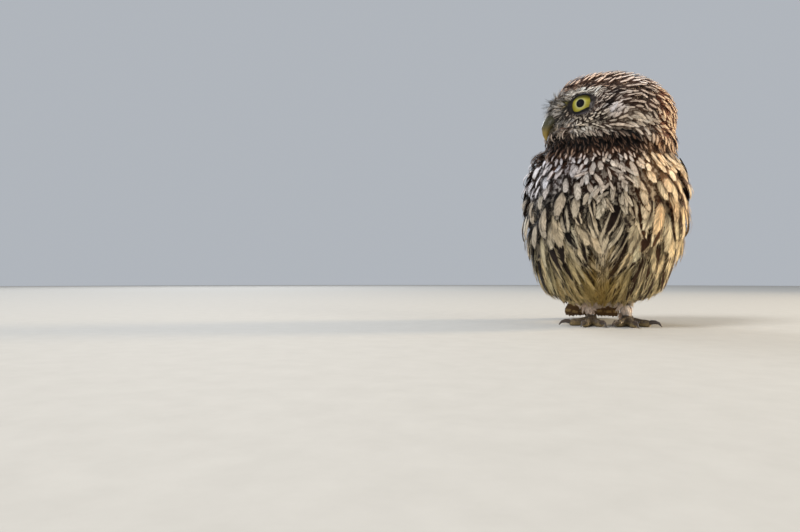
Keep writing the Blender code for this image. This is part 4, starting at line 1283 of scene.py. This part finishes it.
def feather_material(name, groups, barb_count, depth=0.35):
    """Feathers: their own pale and dark colours in their own marking, with barbs in colour, gloss and relief."""
    sockets = {"Sheen_Weight": 0.05, "Sheen_Roughness": 0.5, "Specular_IOR_Level": 0.16}
    material, tree, shader = new_material(name, 0.7, **sockets)
    own = map_place(tree, "Feather")
    across, along, _ = split(own)
    chance = attribute(tree, "chance")
    lines, clumps, height = use(groups["barbs"], own, chance, barb_count)
    lobe = attribute(tree, "lobe", "Vector")
    (marked,) = use(groups["marking"], own, lobe, attribute(tree, "streak"), clumps, lines)
    (streaks,) = use(groups["streaks"], object_place(tree), clumps * 0.6 + chance)
    striped = streaks * attribute(tree, "stripes") * (lines * -0.3 + 1.0)
    # Flight and tail feathers have pale bars instead, which stop short of the shaft and the edges.
    bars = attribute(tree, "bars")
    wave = (along * bars * (2 * math.pi)).calc("SINE") + clumps * 0.35
    off = abs(across * 2.0 - 1.0)
    web = off.ramp(0.06, 0.2) * off.ramp(0.92, 0.72)
    banded = 1.0 - (1.0 - wave.ramp(0.78, 0.52)) * web
    barred = bars > 0.5
    dark = marked.calc("MAXIMUM", striped) * (1.0 - barred) + banded * barred
    colour = mixed(dark, attribute(tree, "pale", "Color"), attribute(tree, "dark", "Color"))
    # Each feather is darker towards its root, painted shade where the feathers overlap; the barbs' lines and clumps
    # vary its tone.
    shade = (lines * 0.55 + 0.60) * (clumps * 0.22 + 0.88) * along.ramp(-0.5, 0.55)
    feed(shader.inputs["Base Color"], scaled(colour, shade))
    feed(shader.inputs["Roughness"], lines * -0.14 + 0.72)
    add_relief(shader, height, 0.4, depth)
    return material


def skin_material(groups):
    """The skin and its down, in the coat's colours darkened partly as painted shade, with a fluffy relief."""
    material, tree, shader = new_material("skin and down", 0.8)
    place = object_place(tree)
    patches = noise(place, 420.0, 4.0, 0.6)
    (streaks,) = use(groups["streaks"], place, patches)
    share = patches.ramp(0.62, 0.4).calc("MAXIMUM", streaks * attribute(tree, "stripes"))
    colour = mixed(share, attribute(tree, "pale", "Color"), attribute(tree, "dark", "Color"))
    feed(shader.inputs["Base Color"], colour)
    add_relief(shader, noise(place, 1600.0, 3.0, 0.7), 0.5)
    return material


def iris_material():
    """A yellow iris with fine threads out from a black pupil, under a wet, clear surface."""
    sockets = {"Coat_Weight": 0.2, "Coat_Roughness": 0.02, "Specular_IOR_Level": 0.05}
    material, tree, shader = new_material("yellow iris", 0.5, **sockets)
    shift = vector_calc("SUBTRACT", map_place(tree, "Globe"), (0.5, 0.5, 0))
    radius = vector_calc("LENGTH", shift, output="Value") * GLOBE_MAP
    threads = noise(vector_calc("NORMALIZE", shift), 9.0, 4.0, 0.6)
    flecks = noise(scaled(shift, 26.0), 3.0, 3.0, 0.6)
    ring = node(tree, "ValToRGB", {"Fac": (radius - 2.1) / 4.6})
    stops = ring.color_ramp.elements
    stops[0].color = paint(150, 150, 104)
    stops[1].color = paint(70, 66, 16)
    for position, colour in ((0.14, (176, 172, 116)), (0.34, (160, 152, 64)), (0.75, (140, 130, 40))):
        stops.new(position).color = paint(*colour)
    _, level, _ = split(shift)
    # Painted shade of the upper lid's shadow, and painted light low down.
    shade = (threads * 0.5 + 0.74) * (flecks * 0.3 + 0.83)
    shade = shade * (level.ramp(0.08, 0.21) * -0.82 + 1.0) * (level.ramp(-0.08, -0.2) * 0.4 + 1.0)
    pupil_edge = threads * 0.12 + 2.44
    iris = scaled(Value(ring.outputs["Color"]), shade)
    iris = mixed((radius - pupil_edge).ramp(-0.10, 0.14), (0.004, 0.004, 0.006, 1), iris)
    feed(shader.inputs["Base Color"], mixed(radius.ramp(6.7, 7.1), iris, (0.012, 0.010, 0.010, 1)))
    add_relief(shader, threads, 0.15, 0.25)
    return material


def lid_material():
    """Bare lids: black at the rim, blue-grey further out, finely wrinkled."""
    material, tree, shader = new_material("bare lids", 0.5, Coat_Weight=0.1, Specular_IOR_Level=0.25)
    _, outward, _ = split(map_place(tree, "Lid"))
    wrinkle = noise(object_place(tree), 1400.0, 3.0, 0.6)
    grey = (wrinkle * 0.2 + outward).ramp(0.36, 0.6)
    feed(shader.inputs["Base Color"], mixed(grey, paint(9, 7, 7), paint(96, 92, 102)))
    add_relief(shader, wrinkle, 0.2, 0.5)
    return material


def horn_material(name, groups, base, tip, low, high, roughness, streaks=0.3):
    """Horn that goes from its tip's colour at the height low to another at high."""
    material, tree, shader = new_material(name, roughness, Coat_Weight=0.25, Coat_Roughness=0.25)
    place = object_place(tree)
    lines, wear = use(groups["horn"], place, 900.0)
    _, _, z = split(place)
    colour = mixed((wear * (3.0 * MM) + z).ramp(low, high), paint(*tip), paint(*base))
    feed(shader.inputs["Base Color"], scaled(colour, lines * (streaks * 2) + (1 - streaks)))
    feed(shader.inputs["Roughness"], wear * 0.25 + (roughness - 0.1))
    add_relief(shader, lines, 0.15, 0.3)
    return material


def toe_material():
    """Toe skin: small rounded scales, dark above and yellowish at the pads and between the scales."""
    material, tree, shader = new_material("scaly toes", 0.55, Coat_Weight=0.1)
    place = object_place(tree)
    cells = node(tree, "TexVoronoi", feature="DISTANCE_TO_EDGE", inputs={"Vector": place, "Scale": 950.0})
    plates = Value(cells.outputs["Distance"]).ramp(0.02, 0.16)
    _, _, z = split(place)
    above = (noise(place, 260.0, 3.0, 0.6) * (2.2 * MM) + z).ramp(2.2 * MM, 4.4 * MM)
    skin = mixed(above, paint(150, 128, 84), paint(66, 57, 52))
    feed(shader.inputs["Base Color"], mixed(plates, paint(128, 110, 80), skin))
    add_relief(shader, plates, 0.3, 0.8)
    return material


def floor_material():
    material, tree, shader = new_material("pale floor", 0.85)
    grain = noise(object_place(tree), 90.0, 4.0, 0.6)
    feed(shader.inputs["Base Color"], mixed(grain, paint(176, 173, 166), paint(190, 187, 180)))
    return material


# Pieces


def clear_of_face(places):
    """Roots that aren't under the lids, the bill or the soles."""
    head = in_head(places)
    _, _, gap, _ = around_eyes(head)
    on_bill = (np.abs(head[:, 0]) < 3.4) & (head[:, 1] < -36) & (head[:, 2] < -5) & (head[:, 2] > -13.5)
    sole = places[:, 2] < 7.2 * MM
    return (gap > 1.0) & ~on_bill & ~sole


FACE, CROWN, NECK, BREAST, BELLY, BACK, SHOULDERS, LEGS = range(8)
COATS = (
    ("coat_face", "crown"),
    ("coat_crown", "crown"),
    ("coat_neck", "throat"),
    ("coat_breast", "breast"),
    ("coat_belly", "breast"),
    ("coat_back", "wing"),
    ("coat_shoulders", "wing"),
    ("coat_legs", "leg"),
)

DOWNS = (
    ("down_head", (FACE, CROWN), "crown"),
    ("down_neck", (NECK, BREAST), "throat"),
    ("down_belly", (BELLY,), "breast"),
)


def coat_label(places, normals):
    """Which piece of the coat each root belongs to, or -1 where the wings' coverts hide it."""
    head = in_head(places)
    _, y, z = in_body(places).T
    wing_gap, _, wing_share = nearest_wing(places)
    along, across = wing_share.T
    from_eye, _, _, _ = around_eyes(head)
    on_head = head[:, 2] > -19
    label = np.where(z > 58, BREAST, BELLY)
    label = np.where((y > 8) & (normals[:, 1] > -0.1), BACK, label)
    label = np.where(z > 101, NECK, label)
    label = np.where(on_head, CROWN, label)
    label = np.where(on_head & (from_eye < 20), FACE, label)
    label = np.where((wing_gap < 5) & (label >= BREAST) & (across > 0.22), SHOULDERS, label)
    label = np.where(z < 15.5, LEGS, label)
    buried = (wing_gap < 6.5) & (along > 0.3) & (across > 0.3) & (label >= BREAST) & (label < LEGS)
    return np.where(buried, -1, label)


def feather_shapes(chance, count, **sizes):
    return [feather_shape(chance, **sizes) for _ in range(count)]


def make_coat(ground, material, chance):
    """Contour feathers over the whole skin, piece by piece."""
    places, normals, spots = roots_on(ground, COAT_TRIES, clear_of_face, 1.0, chance)
    labels = coat_label(places, normals)
    fine = feather_shapes(chance, 6, rows=5, teeth=7, core=0.6, fray=0.8, tip_round=0.35, barb=0.11)
    broad = feather_shapes(chance, 7, rows=7, teeth=18, core=0.68, fray=0.6, tip_round=0.45, barb=0.08)
    long = feather_shapes(chance, 8, rows=7, teeth=22, core=0.5, fray=1.0, tip_round=0.2, barb=0.13)
    shapes = {FACE: fine, CROWN: fine, LEGS: fine, BELLY: long}
    pieces = []
    laid = []
    for number, (name, slot) in enumerate(COATS):
        mine = picked(np.flatnonzero(labels == number), places, normals, spots)
        zones = zones_at(mine[0], mine[1])
        tracks = follow(ground, mine[0], mine[1], zones, chance)
        tracks.update(looks_where_shown(tracks, chance), spot=mine[2], fluff=zones.fluff)
        piece = lay_feathers(name, tracks, shapes.get(number, broad), material, chance)
        pieces.append(piece)
        laid.append(tracks)
        print(name, len(zones.fluff), "feathers", len(piece.data.polygons), "faces")
    return pieces, laid


def make_down(laid, material, chance):
    """Loose barbs that stand over the feathers where they are soft, each in its feather's own colours."""
    shapes = [tuft_shape(chance, blades=14, spread=0.85, width=0.035) for _ in range(9)]
    pieces = []
    for name, numbers, slot in DOWNS:
        tracks = joined([laid[number] for number in numbers])
        soft = chance.random(len(tracks["fluff"])) < tracks["fluff"]
        tracks = {key: values[soft] for key, values in tracks.items()}
        piece = lay_feathers(name, tracks, shapes, material, chance, rise=1.18)
        pieces.append(piece)
        print(name, soft.sum(), "tufts")
    return pieces


def beside_bill(places):
    """Roots between eye and bill."""
    head = in_head(places)
    _, _, gap, _ = around_eyes(head)
    near = (head[:, 1] < -29) & (np.abs(head[:, 0]) < 12) & (head[:, 2] > -14) & (head[:, 2] < 10)
    return near & (gap > 2.6) & clear_of_face(places)


def make_bristles(ground, material, chance):
    """Bristles that fan forward from between eye and bill, and past the outline of the forehead."""
    places, normals, spots = roots_on(ground, BRISTLE_TRIES, beside_bill, 0.75, chance)
    count = len(places)
    zones = zones_at(places, normals)
    zones.lay(np.ones(count), width=3.0, stiff=1.0, depth=2.2, stray=0.25)
    near_bill = smooth(7, 3, np.abs(in_head(places)[:, 0]))
    tracks = follow(ground, places, normals, zones, chance, 5.5 + 2.5 * near_bill)
    tracks.update(looks_of(zones, chance), spot=spots)
    shade = chance.choice((0.13, 0.5, 1.0), (count, 1), p=(0.5, 0.15, 0.35))
    tracks["pale"] = tone(196, 188, 178) * shade * chance.normal(1, 0.12, (count, 1)).clip(0.6, 1.3)
    tracks["lobe"] = np.tile(ALL_PALE, (count, 1))
    tracks["streak"] = np.zeros(count)
    shapes = [tuft_shape(chance, blades=5, spread=0.9, width=0.08) for _ in range(5)]
    piece = lay_feathers("bristles", tracks, shapes, material, chance)
    print("bristles", count)
    return piece


# Each row of flight feathers or coverts: how many, then the root, the tip and the width of the feather at the lower
# edge of the wing and of the one at the upper edge, how high the row lies, and how far each feather's lower edge
# stands over its upper edge. Roots and tips are places along the wing and across it.
Row = collections.namedtuple("Row", "name count roots tips widths level roll bars")
WING_ROWS = (
    Row("primary", 8, ((0.38, 0.24), (0.46, 0.50)), ((0.985, 0.26), (0.82, 0.64)), (8.5, 10), -0.2, 0.6, 6.5),
    Row("secondary", 8, ((0.28, 0.36), (0.34, 0.92)), ((0.70, 0.38), (0.83, 0.90)), (10.5, 11), 0.8, 0.7, 4.5),
    Row("greater_covert", 10, ((0.19, 0.30), (0.19, 0.94)), ((0.50, 0.30), (0.48, 0.92)), (9, 9.5), 1.7, 0.6, 0),
    Row("median_covert", 10, ((0.12, 0.32), (0.11, 0.95)), ((0.36, 0.32), (0.33, 0.93)), (9, 9), 2.6, 0.5, 0),
    Row("lesser_covert", 9, ((0.05, 0.34), (0.04, 0.92)), ((0.23, 0.34), (0.22, 0.90)), (7.5, 7.5), 3.2, 0.4, 0),
    Row("scapular", 6, ((0.02, 0.72), (0.08, 0.98)), ((0.27, 0.80), (0.46, 0.975)), (8.5, 9), 3.9, 0.3, 0),
)

FLIGHT_STEPS = 12
OVERLAP = 1.15

# Lobes as in Zones: one that takes up the whole feather, and the spot of a covert.
ALL_PALE = (3.0, 0.2, 4.0)
BARS_ONLY = (3.0, -2, 4)
COVERT_SPOT = (0.46, 0.56, 0.93)


def grid_spots(count):
    """The middles of even cells of the bake map, one for each feather, and how much of it a feather takes."""
    columns = math.ceil(math.sqrt(count))
    number = np.arange(count)
    return (np.stack((number % columns, number // columns), axis=1) + 0.5) / columns, 0.8 / columns


def wing_tracks(side, row, chance):
    share = np.linspace(0, 1, row.count)[:, None]
    root = np.array(row.roots[0]) + (np.array(row.roots[1]) - row.roots[0]) * share
    tip = np.array(row.tips[0]) + (np.array(row.tips[1]) - row.tips[0]) * share
    tip[:, 0] += chance.normal(0, 0.008, row.count)
    steps = np.linspace(0, 1, FLIGHT_STEPS)[None, :, None]
    line = root[:, None] + (tip - root)[:, None] * steps
    lift = (row.level - 1.2 * (1 - np.minimum(steps[..., 0] * 3, 1))) * MM
    lift = np.broadcast_to(lift, line.shape[:2]).ravel()
    places, normals = wing_place(side, line[..., 0].ravel(), line[..., 1].ravel(), lift)
    places, normals = (rows.reshape(row.count, FLIGHT_STEPS, 3) for rows in (places, normals))
    courses = unit(np.gradient(places, axis=1))
    return {
        "places": places,
        "normals": unit(normals - courses * (normals * courses).sum(-1, keepdims=True)),
        "courses": courses,
        "length": np.linalg.norm(np.diff(places, axis=1), axis=2).sum(axis=1),
        "width": np.linspace(*row.widths, row.count) * MM * OVERLAP,
        "lift": np.full(row.count, 0.3 * MM),
        "rise": np.zeros(row.count),
        "bars": np.full(row.count, float(row.bars)),
    }


def lay_flight(name, tracks, pale, dark, tip_round, material, chance, **settings):
    """Lays flight feathers, each with a cell of the bake map to itself."""
    bars = tracks["bars"]
    count = len(bars)
    tracks["pale"] = np.tile(tone(*pale), (count, 1)) * chance.normal(1, 0.05, (count, 1))
    tracks["dark"] = np.tile(tone(*dark), (count, 1)) * chance.normal(1, 0.08, (count, 1))
    tracks["lobe"] = np.where(bars[:, None] > 0, BARS_ONLY, COVERT_SPOT)
    tracks["streak"] = tracks["stripes"] = np.zeros(count)
    tracks["chance"] = chance.random(count)
    tracks["spot"], patch = grid_spots(count)
    shapes = feather_shapes(chance, 3, rows=12, columns=2, teeth=22, core=0.93, fray=0.1, tip_round=tip_round)
    return lay_feathers(name, tracks, shapes, material, chance, patch=patch, **settings)


def make_wing(name, side, material, chance):
    """Flight feathers and their coverts on one folded wing, row over row."""
    tracks = joined([wing_tracks(side, row, chance) for row in WING_ROWS])
    roll = np.concatenate([np.full(row.count, row.roll * MM) for row in WING_ROWS]) * side
    colours = (190, 166, 132), (84, 58, 42)
    piece = lay_flight(name, tracks, *colours, 0.72, material, chance, droop=0.1, roll=roll)
    return piece


def tail_place(along, sideways, lift):
    ahead = np.array(TAIL_TIP - TAIL_ROOT)
    up = unit(np.cross((1, 0, 0), ahead))
    flat = np.array(TAIL_ROOT) + ahead * along[:, None] + up * lift[:, None]
    flat[:, 0] += sideways
    return leaned(flat) + np.array(CENTRING), np.tile(up, (len(along), 1))


def make_tail(material, chance):
    """Tail feathers, the middle pair on top, each with pale bars."""
    several = []
    for number in range(TAIL_FEATHERS):
        place = number - (TAIL_FEATHERS - 1) / 2
        pair = abs(place)
        along = np.linspace(0.35, 1.0 - 0.006 * pair, FLIGHT_STEPS)
        spread = TAIL_ROOT_SPREAD + (TAIL_TIP_SPREAD - TAIL_ROOT_SPREAD) * smooth(0.4, 1.0, along)
        sideways = place / (TAIL_FEATHERS - 1) * spread * OVERLAP
        lift = np.full(FLIGHT_STEPS, (2.3 - 0.75 * pair) * 0.8 * MM)
        places, normals = tail_place(along, sideways, lift)
        courses = unit(np.gradient(places, axis=0))
        length = np.linalg.norm(np.diff(places, axis=0), axis=1).sum()
        sizes = {"length": length, "width": 11.0 * MM, "lift": 0.2 * MM, "rise": 0.0, "bars": 5.0}
        lines = {"places": places, "normals": normals, "courses": courses}
        several.append({key: np.array([value]) for key, value in (lines | sizes).items()})
    colours = (168, 138, 88), (104, 76, 44)
    piece = lay_flight("tail_feathers", joined(several), *colours, 0.8, material, chance, droop=0.05)
    return piece


def make_eye(name, side, material):
    """The globe, with a cornea that swells a little, and a map of it as seen along the gaze."""
    bm = bmesh.new()
    bmesh.ops.create_uvsphere(bm, u_segments=48, v_segments=32, radius=EYE_RADIUS)
    for vert in bm.verts:
        off = math.hypot(vert.co.x, vert.co.y)
        if vert.co.z > 0:
            vert.co.z += 0.7 * MM * math.exp(-((off / (5.0 * MM)) ** 2))
    size = GLOBE_MAP * MM
    map_points(bm, "Globe", lambda vert: (0.5 + vert.co.x / size, 0.5 + vert.co.y / size))
    bm.transform(eye_frame(side) @ Matrix.Rotation(side * GAZE_TURN, 4, "Y") @ Matrix.Rotation(GAZE_DROP, 4, "X"))
    piece = object_from_bmesh(name, bm, material)
    return piece


def make_lids(name, side, material):
    """A bare rim round the open eye, drawn out to a point at the inner corner."""
    bm = bmesh.new()
    rings = [bmesh.ops.create_circle(bm, segments=64, radius=1)["verts"]]
    edges = bm.edges[:]
    # Each step outward: how far past the lids' edge in millimetres, and how high over the globe.
    steps = ((0.0, 0.05), (0.05, 0.5), (0.45, 0.85), (1.0, 0.75), (2.0, 0.4), (3.0, -0.7))
    for _ in steps[1:]:
        made = bmesh.ops.extrude_edge_only(bm, edges=edges)
        edges = [item for item in made["geom"] if isinstance(item, bmesh.types.BMEdge)]
        rings.append([item for item in made["geom"] if isinstance(item, bmesh.types.BMVert)])
    outward = {}
    for verts, (past, over) in zip(rings, steps):
        for vert in verts:
            outward[vert] = past / steps[-1][0]
            angle = math.atan2(vert.co.y, vert.co.x * side)
            reach = (lid_reach(angle) + past - lid_droop(angle) * (1 - outward[vert])) * MM
            slope = min(reach / EYE_RADIUS, 1.45)
            out = math.sin(slope)
            vert.co = Vector((side * math.cos(angle) * out, math.sin(angle) * out, math.cos(slope)))
            vert.co *= EYE_RADIUS + over * MM
    map_points(bm, "Lid", lambda vert: (0.5, outward[vert]))
    bm.transform(eye_frame(side))
    piece = object_from_bmesh(name, bm, material)
    return piece


def make_smooth_copy(name, node_names, nodes, material, voxel, rounds, shift=(0, 0, 0)):
    """A rounded copy of CAD nodes that touch, for horn and bare skin."""
    bm = bmesh.new()
    for node_name in node_names:
        add_node_copy(bm, nodes[node_name])
    bmesh.ops.translate(bm, verts=bm.verts, vec=shift)
    piece = object_from_bmesh(name, remeshed(bm, name, voxel, rounds), material)
    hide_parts(*node_names)
    return piece


def make_floor():
    bm = bmesh.new()
    bmesh.ops.create_circle(bm, cap_ends=True, segments=96, radius=3.2)
    floor = object_from_bmesh("floor", bm, floor_material(), shaded_smooth=False)


def main():
    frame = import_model()
    nodes = frame["nodes"]
    set_camera()
    set_studio()
    make_floor()
    chance = np.random.default_rng(SEED)
    groups = {"barbs": barb_group(), "marking": marking_group(), "streaks": streak_group(), "horn": horn_group()}
    body_feathers = feather_material("body feathers", groups, 26.0)
    flight_feathers = feather_material("flight feathers", groups, 90.0, 0.2)
    loose_barbs = feather_material("loose barbs", groups, 8.0, 0.1)
    wet_iris = iris_material()
    bare_lids = lid_material()

    skin = make_skin(nodes, skin_material(groups))
    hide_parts(*SKIN_NODES)
    ground = Ground(skin)
    pieces = [skin]
    coats, laid = make_coat(ground, body_feathers, chance)
    pieces += coats
    pieces += make_down(laid, loose_barbs, chance)
    pieces.append(make_bristles(ground, loose_barbs, chance))
    for name, side in (("left", 1), ("right", -1)):
        wing = make_wing(f"wing_feathers_{name}", side, flight_feathers, chance)
        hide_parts(f"wing_{name}")
        eye = make_eye(f"globe_{name}", side, wet_iris)
        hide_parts(f"eye_{name}")
        pieces += [wing, eye, make_lids(f"lids_{name}", side, bare_lids)]
    tail = make_tail(flight_feathers, chance)
    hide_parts("tail")
    pieces.append(tail)

    bill = horn_material("bill horn", groups, (62, 60, 38), (146, 122, 44), 0.1175, 0.1275, 0.35)
    pieces.append(make_smooth_copy("bill_upper_horn", ["bill_upper"], nodes, bill, 0.4 * MM, 2))
    under_bill = horn_material("lower bill horn", groups, (58, 50, 34), (84, 70, 38), 0.118, 0.126, 0.5)
    closed = head_frame().to_3x3() @ Vector((0, -1.1 * MM, 1.3 * MM))
    pieces.append(make_smooth_copy("bill_lower_horn", ["bill_lower"], nodes, under_bill, 0.4 * MM, 2, closed))
    toes = toe_material()
    for name in ("left", "right"):
        pieces.append(make_smooth_copy(f"toes_{name}", [f"foot_{name}"], nodes, toes, 0.5 * MM, 3))
    claw = horn_material("claw horn", groups, (70, 60, 54), (28, 24, 24), 0.0, 0.004, 0.32, 0.2)
    for name, cad in nodes.items():
        if name.startswith("claw"):
            cad.data.materials.clear()
            cad.data.materials.append(claw)
    for piece in pieces:
        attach(piece, "root")


main()
